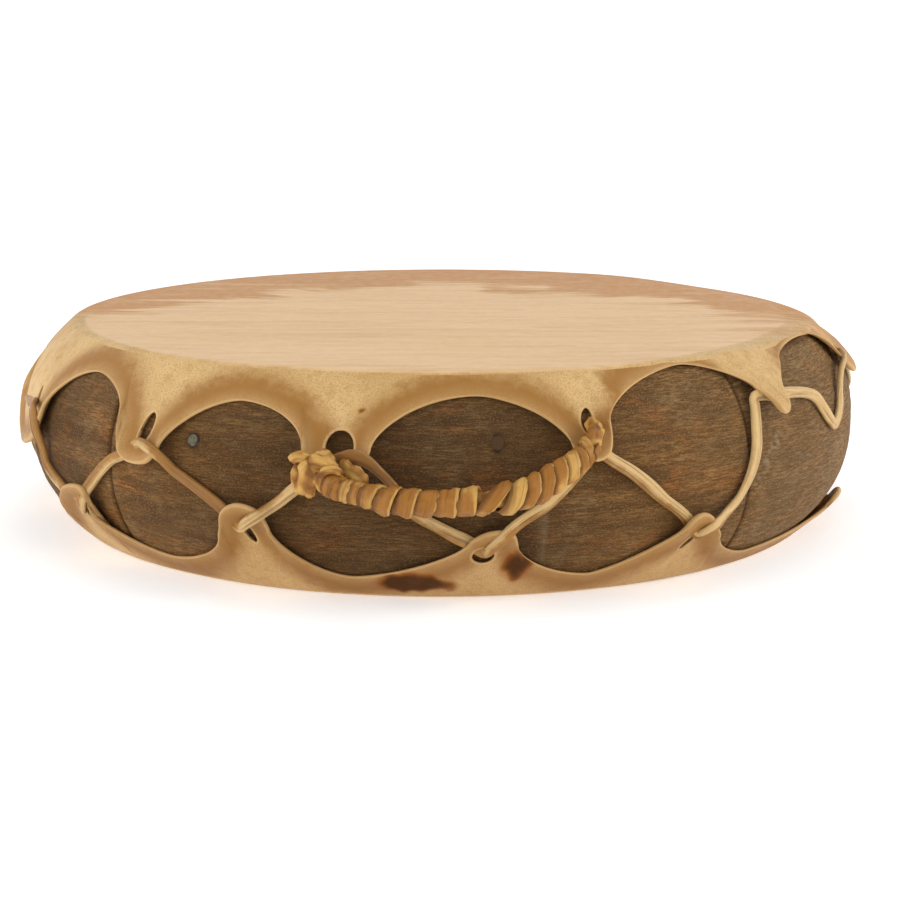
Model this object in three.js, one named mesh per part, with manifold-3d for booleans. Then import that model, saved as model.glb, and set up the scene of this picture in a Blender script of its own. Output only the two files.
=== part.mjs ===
// Low two-headed rawhide drum: a bulging ring of wood in four segments, a skin on each side with
// scalloped edges and slotted tabs, one thong laced from tab to tab, and a wrapped grip on the front.
// Millimetres, +Z up. The origin is the centre of the underside, and the grip faces -Y.
// An azimuth is in degrees from the front, positive to the right; a level is a height above mid height.
import * as THREE from "three";
import { mergeVertices } from "three/addons/utils/BufferGeometryUtils.js";
import Module from "manifold-3d";

const wasm = await Module();
wasm.setup();

// Driving dimensions of the shell and the skins
const BELLY_RADIUS = 225;
const TOTAL_HEIGHT = 107.3;
const RIM_DRAW_IN = 26.7;
const BULGE_POWER = 2.4;
const WALL = 14;
const SKIN = 1.8;
const FIT = 0.8;
const EDGE_ROUND = 3;
const SEAM = 0.3;

const MID = TOTAL_HEIGHT / 2;
const SHELL_HALF = MID - SKIN - FIT;
const DEGREES_PER_MM = 180 / Math.PI / BELLY_RADIUS;

// How finely curves are cut, and the distance under which two points are one
const SEGMENT_STEPS = 10;
const ARCH_STEPS = 3;
const TIP_STEPS = 3;
const SLOT_SIDES = 8;
const HIDDEN_SLOT_SIDES = 6;
const THONG_SIDES = 4;
const CORE_SIDES = 6;
const CORE_STEPS = 22;
const WRAP_SIDES = 8;
const WRAP_INSIDE_STEPS = 13;
const KNOT_SIDES = 9;
const KNOT_RINGS = 5;
const NAIL_SIDES = 10;
const WELD = 1e-3;

// The lacing thong and the grip
const THONG_WIDTH = 6.2;
const THONG_THICK = 2.8;
const THONG_GAP = 0.55;
const CORE_RADIUS = 3.6;
const WRAP_INSIDE = 4.4;
const WRAP_RADIUS = 7;
const WRAP_VALLEY = 5.6;
const WRAP_TURNS = 18;
const WRAP_UNEVEN = 0.35;
const WRAP_UNEVEN_PACE = 1.7;

// How far a tab's lip stands off the wood, to let the thong pass behind it, and how fast that dies away
// beside the tab
const LIP_LIFT = 5.4;
const LIP_FADE = 6;

// Shares by which the columns of a skin are spaced evenly at the rim, and how they turn to the cut edge
const RIM_EVENING = 0.35;
const RIM_TURN = 0.8;

// Tabs of the skins, level measured from mid height towards the tab's own skin: azimuth, half width in
// degrees, level of the tip, level where the side turns into the arch, how far the lip stands off the wood,
// and the slot as its azimuth, level, width and height. The front ones follow the object; the rest repeat.
const TOP_TABS = [
  { az: -72.0, half: 9, tip: -5, side: 10, lift: LIP_LIFT, slot: [-67, 20, 7.6, 14] },
  { az: -38.2, half: 3.2, tip: 7, side: 14, lift: LIP_LIFT, slot: [-37.8, 22, 7.4, 14] },
  { az: -11.9, half: 4.0, tip: 10.6, side: 20, lift: LIP_LIFT, slot: [-11.6, 22.3, 13.6, 13.6] },
  { az: 17.7, half: 2.6, tip: 16, side: 25, lift: LIP_LIFT, slot: [18, 30.4, 8.8, 12] },
  { az: 46.6, half: 2.8, tip: 27, side: 36, lift: 10, slot: null },
  { az: 77.0, half: 4.6, tip: 28.6, side: 38, lift: 5.5, slot: [77, 38.6, 7.4, 9] },
];
const BOTTOM_TABS = [
  { az: -51.6, half: 3.8, tip: 12.4, side: 20, lift: LIP_LIFT, slot: [-51.4, 25, 6.8, 9] },
  { az: -23.2, half: 3.2, tip: 6.4, side: 14, lift: LIP_LIFT, slot: [-23, 20.4, 6.8, 10.4] },
  { az: 6.2, half: 2.8, tip: 14.8, side: 20, lift: LIP_LIFT, slot: [5.2, 27.6, 10.4, 8.4] },
  { az: 32.3, half: 2.6, tip: 14.8, side: 22, lift: LIP_LIFT, slot: [31.8, 28.6, 6.6, 9.4] },
  { az: 73.5, half: 3.6, tip: 34, side: 40, lift: 2.4, slot: [73.5, 42, 6, 6] },
];
const TABS = 12;
const PLAIN_TAB = { half: 3.4, tip: 12, varies: 2, pace: 2.1, side: 8, slotAbove: 12, slotSize: [7.4, 11] };
const TOP_ARCHES = [[-52, 41], [-25, 38.4], [4.3, 43.3], [33.2, 49.4], [62.5, 49.6]];
const BOTTOM_ARCHES = [[-37.5, 42.1], [-11, 41.2], [19, 41.8], [51, 45.2]];
// Degrees from the last hidden tab to the first tab, by the side of the skin
const LAST_GAP = new Map([[1, 31], [-1, 40]]);
const PLAIN_ARCH = 43;

// Shared helpers

const radians = THREE.MathUtils.degToRad;
const lerp = THREE.MathUtils.lerp;

// A point at an azimuth, a level above mid height and a distance from the axis.
function at(az, level, radius) {
  const a = radians(az);
  return new THREE.Vector3(radius * Math.sin(a), -radius * Math.cos(a), MID + level);
}

// Outer radius of the wood at a level.
function woodRadius(level) {
  return BELLY_RADIUS - RIM_DRAW_IN * Math.pow(Math.min(1, Math.abs(level) / MID), BULGE_POWER);
}

// A point that lies a given distance off the wood.
function offWood(az, level, off) {
  return at(az, level, woodRadius(level) + off);
}

// A solid from a closed surface, whose vertices are merged and whose faces are turned outwards first.
function solidOf(geometry) {
  const bare = new THREE.BufferGeometry();
  bare.setAttribute("position", geometry.getAttribute("position"));
  if (geometry.index) bare.setIndex(geometry.index);
  const merged = outward(mergeVertices(bare, WELD));
  const mesh = new wasm.Mesh({
    numProp: 3,
    vertProperties: merged.attributes.position.array,
    triVerts: new Uint32Array(merged.index.array),
  });
  return new wasm.Manifold(mesh);
}

function geometryOf(solid) {
  const mesh = solid.getMesh();
  const geometry = new THREE.BufferGeometry();
  geometry.setAttribute("position", new THREE.BufferAttribute(mesh.vertProperties, 3));
  geometry.setIndex(new THREE.BufferAttribute(mesh.triVerts, 1));
  geometry.computeVertexNormals();
  return geometry;
}

// A closed skin over rings of points, each ring the same length, capped at both ends, or joined up when
// the rings close on themselves with the last ring turned by a number of points.
function skinOver(rings, { closed = false, turn = 0 } = {}) {
  const sides = rings[0].length;
  const positions = rings.flat().flatMap((p) => [p.x, p.y, p.z]);
  const index = [];
  const last = closed ? rings.length : rings.length - 1;
  for (let i = 0; i < last; i++) {
    const joins = i === rings.length - 1;
    const next = joins ? 0 : i + 1;
    for (let j = 0; j < sides; j++) {
      const k = (j + 1) % sides;
      const a = i * sides + j;
      const b = i * sides + k;
      const c = next * sides + (joins ? (k + turn) % sides : k);
      const d = next * sides + (joins ? (j + turn) % sides : j);
      index.push(a, b, c, a, c, d);
    }
  }
  if (!closed) {
    const end = (rings.length - 1) * sides;
    for (let j = 1; j < sides - 1; j++) {
      index.push(0, j + 1, j);
      index.push(end, end + j, end + j + 1);
    }
  }
  const geometry = new THREE.BufferGeometry();
  geometry.setAttribute("position", new THREE.Float32BufferAttribute(positions, 3));
  geometry.setIndex(index);
  return outward(geometry);
}

// Turns every face round if the surface would otherwise face inwards.
function outward(geometry) {
  const p = geometry.getAttribute("position");
  const index = geometry.getIndex();
  const [a, b, c] = [new THREE.Vector3(), new THREE.Vector3(), new THREE.Vector3()];
  let volume = 0;
  for (let i = 0; i < index.count; i += 3) {
    a.fromBufferAttribute(p, index.getX(i));
    b.fromBufferAttribute(p, index.getX(i + 1));
    c.fromBufferAttribute(p, index.getX(i + 2));
    volume += a.dot(b.cross(c));
  }
  if (volume < 0) {
    for (let i = 0; i < index.count; i += 3) {
      const kept = index.getX(i);
      index.setX(i, index.getX(i + 1));
      index.setX(i + 1, kept);
    }
  }
  geometry.computeVertexNormals();
  return geometry;
}

function piece(name, geometry, material) {
  const mesh = new THREE.Mesh(geometry, material);
  mesh.name = name;
  return mesh;
}

// Materials

const wood = new THREE.MeshStandardMaterial({ color: 0x5b4636, roughness: 0.75, metalness: 0 });
const skinHide = new THREE.MeshStandardMaterial({ color: 0xd9b57c, roughness: 0.6, metalness: 0 });
const thongHide = new THREE.MeshStandardMaterial({ color: 0xbf8f4f, roughness: 0.55, metalness: 0 });
const iron = new THREE.MeshStandardMaterial({ color: 0x6b675f, roughness: 0.6, metalness: 0.8 });

// Shell: each segment is the wall's profile swept round about a quarter turn, with bevelled rims

// Where each segment starts and ends, at the seams between them
const SEGMENTS = {
  shell_front: [-45, 41],
  shell_right: [41, 135],
  shell_back: [135, 225],
  shell_left: [225, 315],
};
const OUTER_LEVELS = [1, 0.8, 0.5, 0, -0.5, -0.8, -1];
const INNER_LEVELS = [-1, -0.5, 0.5, 1];

function wallProfile() {
  const bevelled = SHELL_HALF - EDGE_ROUND;
  const outside = OUTER_LEVELS.map((f) => [woodRadius(f * bevelled), f * bevelled]);
  const rim = woodRadius(SHELL_HALF) - EDGE_ROUND;
  const inside = INNER_LEVELS.map((f) => [woodRadius(f * SHELL_HALF) - WALL, f * SHELL_HALF]);
  return [[rim, SHELL_HALF], ...outside, [rim, -SHELL_HALF], ...inside];
}

function shellSegment([from, to]) {
  const profile = wallProfile();
  const gap = (SEAM / 2) * DEGREES_PER_MM;
  const rings = [];
  for (let i = 0; i <= SEGMENT_STEPS; i++) {
    const az = lerp(from + gap, to - gap, i / SEGMENT_STEPS);
    rings.push(profile.map(([radius, level]) => at(az, level, radius)));
  }
  return closeWithCaps(rings, profile);
}

// A swept ring whose section is not convex: its two ends are triangulated.
function closeWithCaps(rings, profile) {
  const sides = profile.length;
  const contour = profile.map(([x, y]) => new THREE.Vector2(x, y));
  const caps = THREE.ShapeUtils.triangulateShape(contour, []);
  const positions = rings.flat().flatMap((p) => [p.x, p.y, p.z]);
  const index = [];
  for (let i = 0; i < rings.length - 1; i++) {
    for (let j = 0; j < sides; j++) {
      const k = (j + 1) % sides;
      const [a, b] = [i * sides + j, i * sides + k];
      index.push(a, b, b + sides, a, b + sides, a + sides);
    }
  }
  const end = (rings.length - 1) * sides;
  const clockwise = THREE.ShapeUtils.isClockWise(contour);
  for (const [a, b, c] of caps) {
    const [p, q] = clockwise ? [b, c] : [c, b];
    index.push(a, p, q);
    index.push(end + a, end + q, end + p);
  }
  const geometry = new THREE.BufferGeometry();
  geometry.setAttribute("position", new THREE.Float32BufferAttribute(positions, 3));
  geometry.setIndex(index);
  return outward(geometry);
}

// Skins

// The full ring of tabs: the front ones as listed, the others spaced evenly up to the last gap.
function allTabs(front, side) {
  const tabs = [...front];
  const last = front[front.length - 1].az;
  const spare = 360 + front[0].az - LAST_GAP.get(side) - last;
  const hidden = TABS - front.length;
  const { half, slotSize } = PLAIN_TAB;
  for (let i = 1; i <= hidden; i++) {
    const az = last + (spare * i) / hidden;
    const tip = PLAIN_TAB.tip + PLAIN_TAB.varies * Math.sin(i * PLAIN_TAB.pace);
    const slot = [az, tip + PLAIN_TAB.slotAbove, ...slotSize];
    tabs.push({ az, half, tip, side: tip + PLAIN_TAB.side, lift: LIP_LIFT, slot, hidden: true });
  }
  return tabs;
}

// The cut edge as columns, each with its azimuth, its level and how far it stands off the wood. An arch is
// two quarter ellipses that meet at its top; a tab's tip is half an ellipse.
function edgeColumns(tabs, arches) {
  const columns = [];
  tabs.forEach((tab, i) => {
    const next = i + 1 < tabs.length ? tabs[i + 1] : { ...tabs[0], az: tabs[0].az + 360 };
    for (let k = 0; k <= TIP_STEPS; k++) {
      const a = Math.PI * (k / TIP_STEPS);
      columns.push({
        az: tab.az - tab.half * Math.cos(a),
        level: tab.side - (tab.side - tab.tip) * Math.sin(a),
        lift: tab.lift,
      });
    }
    const left = tab.az + tab.half;
    const right = next.az - next.half;
    const [top, level] = arches[i] ?? [(left + right) / 2, PLAIN_ARCH];
    for (let k = 1; k < 2 * ARCH_STEPS; k++) {
      const a = (Math.PI / 2) * (k / ARCH_STEPS);
      const before = k < ARCH_STEPS;
      const from = before ? tab : next;
      const span = before ? top - left : right - top;
      const off = Math.abs(Math.cos(a));
      columns.push({
        az: top - Math.sign(Math.cos(a)) * span * off,
        level: from.side + (level - from.side) * Math.sin(a),
        lift: from.lift * Math.pow(off, LIP_FADE),
      });
    }
  });
  return columns;
}

// One face of a skin, from the flat disc, over the rim and down to the cut edge: a strip of points for each
// column of the edge. The skin leaves the wood towards the tips, to let the thong pass behind them.
const SKIRT_ROWS = [
  { along: 0, lift: 0 },
  { along: 0.3, lift: 0.25 },
  { along: 0.6, lift: 0.95 },
  { along: 1, lift: 1 },
];
const FLAT_RADIUS = woodRadius(SHELL_HALF) - EDGE_ROUND + 0.5;

function skinStrips(columns, side, outside) {
  const face = outside ? MID : MID - SKIN;
  const proud = FIT + (outside ? SKIN : 0);
  const start = face - EDGE_ROUND;
  const flat = FLAT_RADIUS + (outside ? SKIN / 2 : 0);
  return columns.map((column, i) => {
    const even = columns[0].az + (i * 360) / columns.length;
    const rimAz = lerp(column.az, even, RIM_EVENING);
    const rim = at(rimAz, side * face, flat);
    const skirt = SKIRT_ROWS.map((row) => {
      const level = lerp(start, column.level, row.along);
      const az = lerp(rimAz, column.az, Math.pow(row.along, RIM_TURN));
      return at(az, side * level, woodRadius(level) + proud + column.lift * row.lift);
    });
    return [rim, ...skirt];
  });
}

function skinSolid(tabs, arches, side) {
  const columns = edgeColumns(tabs, arches);
  const outer = skinStrips(columns, side, true);
  const inner = skinStrips(columns, side, false);
  const count = columns.length;
  const positions = [];
  const index = [];
  const add = (strips) => {
    const start = positions.length / 3;
    strips.flat().forEach((p) => positions.push(p.x, p.y, p.z));
    return { start, rows: strips[0].length };
  };
  const quad = (a, b, c, d) => index.push(a, b, c, a, c, d);
  const o = add(outer);
  const n = add(inner);
  const top = positions.length / 3;
  positions.push(0, 0, outer[0][0].z, 0, 0, inner[0][0].z);
  for (let i = 0; i < count; i++) {
    const j = (i + 1) % count;
    index.push(top, o.start + i * o.rows, o.start + j * o.rows);
    index.push(top + 1, n.start + j * n.rows, n.start + i * n.rows);
    for (let k = 0; k < o.rows - 1; k++) {
      const [a, b] = [o.start + i * o.rows + k, o.start + j * o.rows + k];
      quad(a, a + 1, b + 1, b);
    }
    for (let k = 0; k < n.rows - 1; k++) {
      const [a, b] = [n.start + i * n.rows + k, n.start + j * n.rows + k];
      quad(b, b + 1, a + 1, a);
    }
    const [oa, ob] = [o.start + i * o.rows + o.rows - 1, o.start + j * o.rows + o.rows - 1];
    const [na, nb] = [n.start + i * n.rows + n.rows - 1, n.start + j * n.rows + n.rows - 1];
    quad(oa, na, nb, ob);
  }
  const geometry = new THREE.BufferGeometry();
  geometry.setAttribute("position", new THREE.Float32BufferAttribute(positions, 3));
  geometry.setIndex(index);
  return solidOf(geometry);
}

// A prism with round ends that cuts a slot of a given width and height through a tab.
const CUT_DEPTH = 30;

function slotCutter([az, level, width, height], side, sides) {
  const r = Math.min(width, height) / 2;
  const [dx, dy] = [width / 2 - r, height / 2 - r];
  const outline = [];
  for (let k = 0; k < sides; k++) {
    const a = (2 * Math.PI * (k + 0.5)) / sides;
    const [c, v] = [Math.cos(a), Math.sin(a)];
    outline.push(new THREE.Vector2(r * c + dx * Math.sign(c), r * v + dy * Math.sign(v)));
  }
  const form = new THREE.Shape(outline);
  const prism = new THREE.ExtrudeGeometry(form, { depth: CUT_DEPTH, bevelEnabled: false });
  const a = radians(az);
  const outwards = new THREE.Vector3(Math.sin(a), -Math.cos(a), 0);
  const along = new THREE.Vector3(Math.cos(a), Math.sin(a), 0);
  const basis = new THREE.Matrix4().makeBasis(along, new THREE.Vector3(0, 0, 1), outwards);
  prism.applyMatrix4(basis.setPosition(offWood(az, side * level, -CUT_DEPTH / 2)));
  return solidOf(prism);
}

function head(front, arches, side) {
  const tabs = allTabs(front, side);
  return tabs
    .filter((tab) => tab.slot)
    .map((tab) => slotCutter(tab.slot, side, tab.hidden ? HIDDEN_SLOT_SIDES : SLOT_SIDES))
    .reduce((solid, cutter) => solid.subtract(cutter), skinSolid(tabs, arches, side));
}

// Lacing: the thong comes from behind each tab, out through its slot, over the lip and on to the next tab

// Distances of its middle from the wood, along a strand and behind a lip
const LOW = THONG_THICK / 2 + 0.5;
const BEHIND = LOW + 1.1;

// The thong's places at one tab, each as azimuth, level, distance off the wood and share of its full width.
// It narrows where it is bent through the slot.
function crossing(tab, side) {
  const [az, level, , height] = tab.slot;
  const bottom = level - height / 2;
  const inside = FIT + tab.lift;
  const over = inside + SKIN + THONG_THICK / 2 + THONG_GAP;
  const mm = DEGREES_PER_MM;
  return [
    [az - 6 * mm, side * (tab.tip - 4), LOW + 0.1, 1],
    [az - 0.9 * mm, side * (bottom + 0.6), BEHIND, 0.65],
    [az, side * (bottom + THONG_THICK + 1.2), inside + SKIN / 2, 0.6],
    [az + 1.2 * mm, side * (bottom + 3), over + 0.9, 0.65],
    [az + 3 * mm, side * (tab.tip + 1), over + 0.6, 0.8],
    [az + 7 * mm, side * (tab.tip - 7), (over + LOW) / 2, 1],
  ];
}

// Bends of the strands that show, between one tab's crossing and the next, as azimuth, level and distance.
const STRAND_BENDS = {
  B0: [[-46.8, -1.5, LOW]],
  T1: [[-30.6, -0.7, LOW]],
  B1: [[-20.2, -7.4, LOW]],
  T2: [[-4.9, 6, LOW], [-2.2, -6, LOW]],
  B2: [[12.5, -3.4, LOW]],
  T3: [[23.2, 5.6, LOW], [26.6, -6, LOW]],
  B3: [[37.2, -9, LOW], [39.6, 2, 3.2], [41, 15, 4], [42, 26, 4.4], [43.2, 31.6, 4.6]],
};

// Where the thong does not follow the plain crossing: it leaves the round hole sideways over the tab's
// edge, hooks over the grip's core behind the next tab, and runs slack behind the folded one to the tab
// after it, missing the bottom tab between them.
const OWN_CROSSINGS = {
  T2: [
    [-15.2, 4, LOW],
    [-13.6, 14, BEHIND],
    [-12.6, 20, BEHIND],
    [-11.5, 22, 7.2],
    [-10.4, 22, 10.6],
    [-8, 19, 10.8],
    [-6.1, 12.4, 5],
  ],
  T3: [
    [15.6, 8, LOW],
    [17, 18, BEHIND],
    [18.1, 21, BEHIND],
    [19, 18, BEHIND],
    [20.2, 13, LOW],
  ],
  T4: [
    [45.2, 31, 4.4, 0.8],
    [47.4, 30.8, 5, 0.75],
    [50, 31, 5.6, 0.75],
    [53.4, 31, 3.9, 0.8],
    [57.2, 29.6, 3],
    [58.6, 20, 2.6],
    [60.2, 11.8, 2.6],
    [63.4, 17.2, 2.4],
    [66.6, 22, 2.4],
    [70.5, 24.4, 2.9],
  ],
  B4: [],
};

function lacingStations() {
  const [top, bottom] = [allTabs(TOP_TABS, 1), allTabs(BOTTOM_TABS, -1)];
  const stations = [];
  for (let i = 0; i < TABS; i++) {
    for (const [name, tab, side] of [["T" + i, top[i], 1], ["B" + i, bottom[i], -1]]) {
      const places = [...(OWN_CROSSINGS[name] ?? crossing(tab, side)), ...(STRAND_BENDS[name] ?? [])];
      stations.push(...places.map(([az, level, off, share = 1]) => [az, level, off, share]));
    }
  }
  return stations;
}

// Extra places so that no straight run of the thong cuts into the round of the wood.
const LONGEST_RUN = 9;

function eased(stations) {
  return stations.flatMap((here, i) => {
    const wrapped = i + 1 === stations.length;
    const next = stations[wrapped ? 0 : i + 1];
    const ahead = next[0] + (wrapped ? 360 : 0);
    const cuts = Math.floor((ahead - here[0]) / LONGEST_RUN);
    const extra = Array.from({ length: cuts }, (_, k) => {
      const f = (k + 1) / (cuts + 1);
      return [lerp(here[0], ahead, f), lerp(here[1], next[1], f), LOW, 1];
    });
    return [here, ...extra];
  });
}

// Sweeps the thong's section along the stations, lying flat against the wood and turning over at each tab.
function lacingGeometry() {
  const stations = eased(lacingStations());
  const points = stations.map(([az, level, off]) => offWood(az, level, off));
  const count = points.length;
  const rings = [];
  let normal = null;
  for (let i = 0; i < count; i++) {
    const tangent = points[(i + 1) % count].clone().sub(points[(i + count - 1) % count]).normalize();
    const a = radians(stations[i][0]);
    const radial = new THREE.Vector3(Math.sin(a), -Math.cos(a), 0);
    const flat = radial.clone().addScaledVector(tangent, -radial.dot(tangent));
    const weight = flat.lengthSq();
    if (normal) {
      normal.addScaledVector(tangent, -normal.dot(tangent)).normalize();
      const sign = Math.sign(normal.dot(flat)) || 1;
      normal.multiplyScalar(1 - weight).addScaledVector(flat, sign * weight).normalize();
    } else {
      normal = flat.normalize();
    }
    const share = stations[i][3];
    rings.push(stripRing(points[i], tangent, normal, THONG_WIDTH * share, THONG_THICK * share));
  }
  const turned = rings[0][0].distanceTo(rings[count - 1][0]) > THONG_WIDTH / 2;
  return skinOver(rings, { closed: true, turn: turned ? THONG_SIDES / 2 : 0 });
}

// The corners of a flat strip's section.
function stripRing(centre, tangent, normal, width, thick) {
  const across = tangent.clone().cross(normal);
  return Array.from({ length: THONG_SIDES }, (_, k) => {
    const a = (2 * Math.PI * (k + 0.5)) / THONG_SIDES;
    return centre
      .clone()
      .addScaledVector(across, (width / 2) * Math.sign(Math.cos(a)))
      .addScaledVector(normal, (thick / 2) * Math.sign(Math.sin(a)));
  });
}

function roundRing(centre, tangent, normal, radius, sides) {
  const across = tangent.clone().cross(normal);
  return Array.from({ length: sides }, (_, k) => {
    const a = (2 * Math.PI * k) / sides;
    return centre
      .clone()
      .addScaledVector(across, radius * Math.cos(a))
      .addScaledVector(normal, radius * Math.sin(a));
  });
}

// Grip: a stiff core from the second to the third top tab, knotted at the left, and the strip wound on it

// Centre line of the wound part as azimuth, level and distance off the wood, and the core's two ends.
const GRIP_LINE = [
  [-12.9, 12.6, 16.2],
  [-11.4, 10.4, 17],
  [-9.7, 8.6, 18],
  [-7.5, 6, 20],
  [-5.1, 4.2, 21.5],
  [-2.8, 3.2, 22],
  [-0.5, 2.8, 22],
  [1.8, 3.2, 22],
  [4.2, 4, 22],
  [7.4, 4.8, 21],
  [9.4, 7, 19.8],
  [11.5, 10.2, 18.4],
  [13.6, 14, 17.2],
  [15.4, 18.6, 16.4],
  [16.8, 24, 15.8],
];
const GRIP_INTO_TAB = [
  [17.8, 28.8, 13],
  [18.1, 30.3, 7],
  [18.1, 30.4, 2.2],
];
const KNOT_PLACE = [-15.2, 13.2, 13.4];

function curveThrough(places) {
  return new THREE.CatmullRomCurve3(places.map((p) => offWood(...p)), false, "centripetal");
}

// Frames that keep one side of the section facing away from the drum.
function frameAt(curve, t) {
  const centre = curve.getPointAt(t);
  const tangent = curve.getTangentAt(t);
  const radial = new THREE.Vector3(centre.x, centre.y, 0).normalize();
  const normal = radial.addScaledVector(tangent, -radial.dot(tangent)).normalize();
  return { centre, tangent, normal };
}

function tubeRings(curve, steps, radiusAt, sides) {
  return Array.from({ length: steps + 1 }, (_, i) => {
    const { centre, tangent, normal } = frameAt(curve, i / steps);
    return roundRing(centre, tangent, normal, radiusAt(i), sides);
  });
}

// The wound strip as a sleeve: each turn swells to its far edge and then steps down onto the next.
function gripWrap() {
  const curve = curveThrough(GRIP_LINE);
  const ridge = (i) => {
    const swell = WRAP_UNEVEN * Math.sin(i * WRAP_UNEVEN_PACE);
    return i % 2 ? WRAP_RADIUS + swell : WRAP_VALLEY + swell / 2;
  };
  const outer = tubeRings(curve, 2 * WRAP_TURNS, ridge, WRAP_SIDES);
  const inner = tubeRings(curve, WRAP_INSIDE_STEPS, () => WRAP_INSIDE, WRAP_SIDES).reverse();
  return skinOver([...outer, ...inner], { closed: true });
}

const KNOT_LUMPS = [
  { place: KNOT_PLACE, size: [6.6, 9, 5.6], tilt: 0.5 },
  { place: [-16.4, 17, 12.6], size: [5.5, 4.5, 4.2], tilt: -0.4 },
  { place: [-14.6, 8, 13], size: [5, 6.5, 5], tilt: 0.7 },
];

function lump({ place, size, tilt }) {
  const [across, high, deep] = size;
  const ball = new THREE.SphereGeometry(1, KNOT_SIDES, KNOT_RINGS);
  const a = radians(place[0]);
  const matrix = new THREE.Matrix4()
    .makeRotationZ(a)
    .multiply(new THREE.Matrix4().makeRotationY(tilt))
    .multiply(new THREE.Matrix4().makeScale(across, deep, high));
  ball.applyMatrix4(matrix.setPosition(offWood(...place)));
  return solidOf(ball);
}

// The core, from inside the knot to behind the third tab, with the knot tied in it.
function gripCore() {
  const main = curveThrough([KNOT_PLACE, ...GRIP_LINE, ...GRIP_INTO_TAB]);
  const rod = skinOver(tubeRings(main, CORE_STEPS, () => CORE_RADIUS, CORE_SIDES));
  return KNOT_LUMPS.reduce((solid, form) => solid.add(lump(form)), solidOf(rod));
}

// Nails: a domed head let into the wood, with its shank, in a hole that is a little larger

const NAILS = { nail_left: [-30.8, 19.5, 3.6], nail_right: [6.8, 24, 3.8] };
const SHANK_RADIUS = 1.3;
const SHANK_LENGTH = 9;
const NAIL_PROUD = 0.6;
const NAIL_SINK = 1.4;
const NAIL_FLAT = 0.55;
const NAIL_CLEARANCE = 0.3;
const HOLE_MOUTH = 6;

function nailProfile(radius) {
  return [
    [0, -SHANK_LENGTH],
    [SHANK_RADIUS, -SHANK_LENGTH],
    [SHANK_RADIUS, -NAIL_SINK],
    [radius, -NAIL_SINK],
    [radius, 0],
    [radius * NAIL_FLAT, NAIL_PROUD],
    [0, NAIL_PROUD],
  ];
}

function holeProfile(radius) {
  const [shank, wide] = [SHANK_RADIUS + NAIL_CLEARANCE, radius + NAIL_CLEARANCE];
  const [floor, step] = [-SHANK_LENGTH - NAIL_CLEARANCE, -NAIL_SINK - NAIL_CLEARANCE];
  return [[0, floor], [shank, floor], [shank, step], [wide, step], [wide, HOLE_MOUTH], [0, HOLE_MOUTH]];
}

// Turns a profile about the line that stands square to the wood at an azimuth and level.
function turnedInWood([az, level], profile) {
  const turned = new THREE.LatheGeometry(profile.map(([x, y]) => new THREE.Vector2(x, y)), NAIL_SIDES);
  const slope = (woodRadius(level + 1) - woodRadius(level - 1)) / 2;
  const a = radians(az);
  const out = new THREE.Vector3(Math.sin(a), -Math.cos(a), -slope).normalize();
  turned.applyQuaternion(new THREE.Quaternion().setFromUnitVectors(new THREE.Vector3(0, 1, 0), out));
  turned.translate(...offWood(az, level, 0).toArray());
  return solidOf(turned);
}

// The drum

const drum = new THREE.Group();

const { shell_front: frontSpan, ...otherSpans } = SEGMENTS;
const front = Object.values(NAILS)
  .map((place) => turnedInWood(place, holeProfile(place[2])))
  .reduce((solid, hole) => solid.subtract(hole), solidOf(shellSegment(frontSpan)));
drum.add(piece("shell_front", geometryOf(front), wood));
for (const [name, span] of Object.entries(otherSpans)) {
  drum.add(piece(name, shellSegment(span), wood));
}

drum.add(piece("head_top", geometryOf(head(TOP_TABS, TOP_ARCHES, 1)), skinHide));
drum.add(piece("head_bottom", geometryOf(head(BOTTOM_TABS, BOTTOM_ARCHES, -1)), skinHide));
drum.add(piece("lacing", lacingGeometry(), thongHide));
drum.add(piece("grip_core", geometryOf(gripCore()), thongHide));
drum.add(piece("grip_wrap", gripWrap(), thongHide));

for (const [name, place] of Object.entries(NAILS)) {
  drum.add(piece(name, geometryOf(turnedInWood(place, nailProfile(place[2]))), iron));
}

export default drum;
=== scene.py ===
# Low two-headed rawhide drum: wooden ring in four segments, laced skins and a wound grip.
# Shapes are worked out in millimetres, in the frame's own axes, and written to the meshes in metres.
# An azimuth is in degrees from the front, positive to the right; a level is a height above mid height.
import math
from collections import namedtuple

import bmesh
import bpy
import numpy as np
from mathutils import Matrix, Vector, kdtree


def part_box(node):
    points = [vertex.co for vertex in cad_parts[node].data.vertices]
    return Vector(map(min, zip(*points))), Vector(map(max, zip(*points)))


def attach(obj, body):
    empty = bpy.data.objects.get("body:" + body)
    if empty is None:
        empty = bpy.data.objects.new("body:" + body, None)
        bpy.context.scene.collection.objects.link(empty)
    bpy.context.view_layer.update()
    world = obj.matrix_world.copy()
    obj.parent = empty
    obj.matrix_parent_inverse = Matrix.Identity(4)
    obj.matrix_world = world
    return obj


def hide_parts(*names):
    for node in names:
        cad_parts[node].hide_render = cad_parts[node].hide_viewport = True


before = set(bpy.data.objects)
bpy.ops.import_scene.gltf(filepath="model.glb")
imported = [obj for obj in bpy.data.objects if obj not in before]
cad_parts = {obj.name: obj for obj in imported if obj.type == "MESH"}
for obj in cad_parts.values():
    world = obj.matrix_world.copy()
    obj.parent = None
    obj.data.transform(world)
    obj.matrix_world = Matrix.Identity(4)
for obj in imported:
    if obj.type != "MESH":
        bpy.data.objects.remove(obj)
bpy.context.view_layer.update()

MM = 0.001

# Sizes taken from the frame
TOTAL_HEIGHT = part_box("head_top")[1].z / MM
BELLY_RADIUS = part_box("shell_back")[1].y / MM

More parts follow.
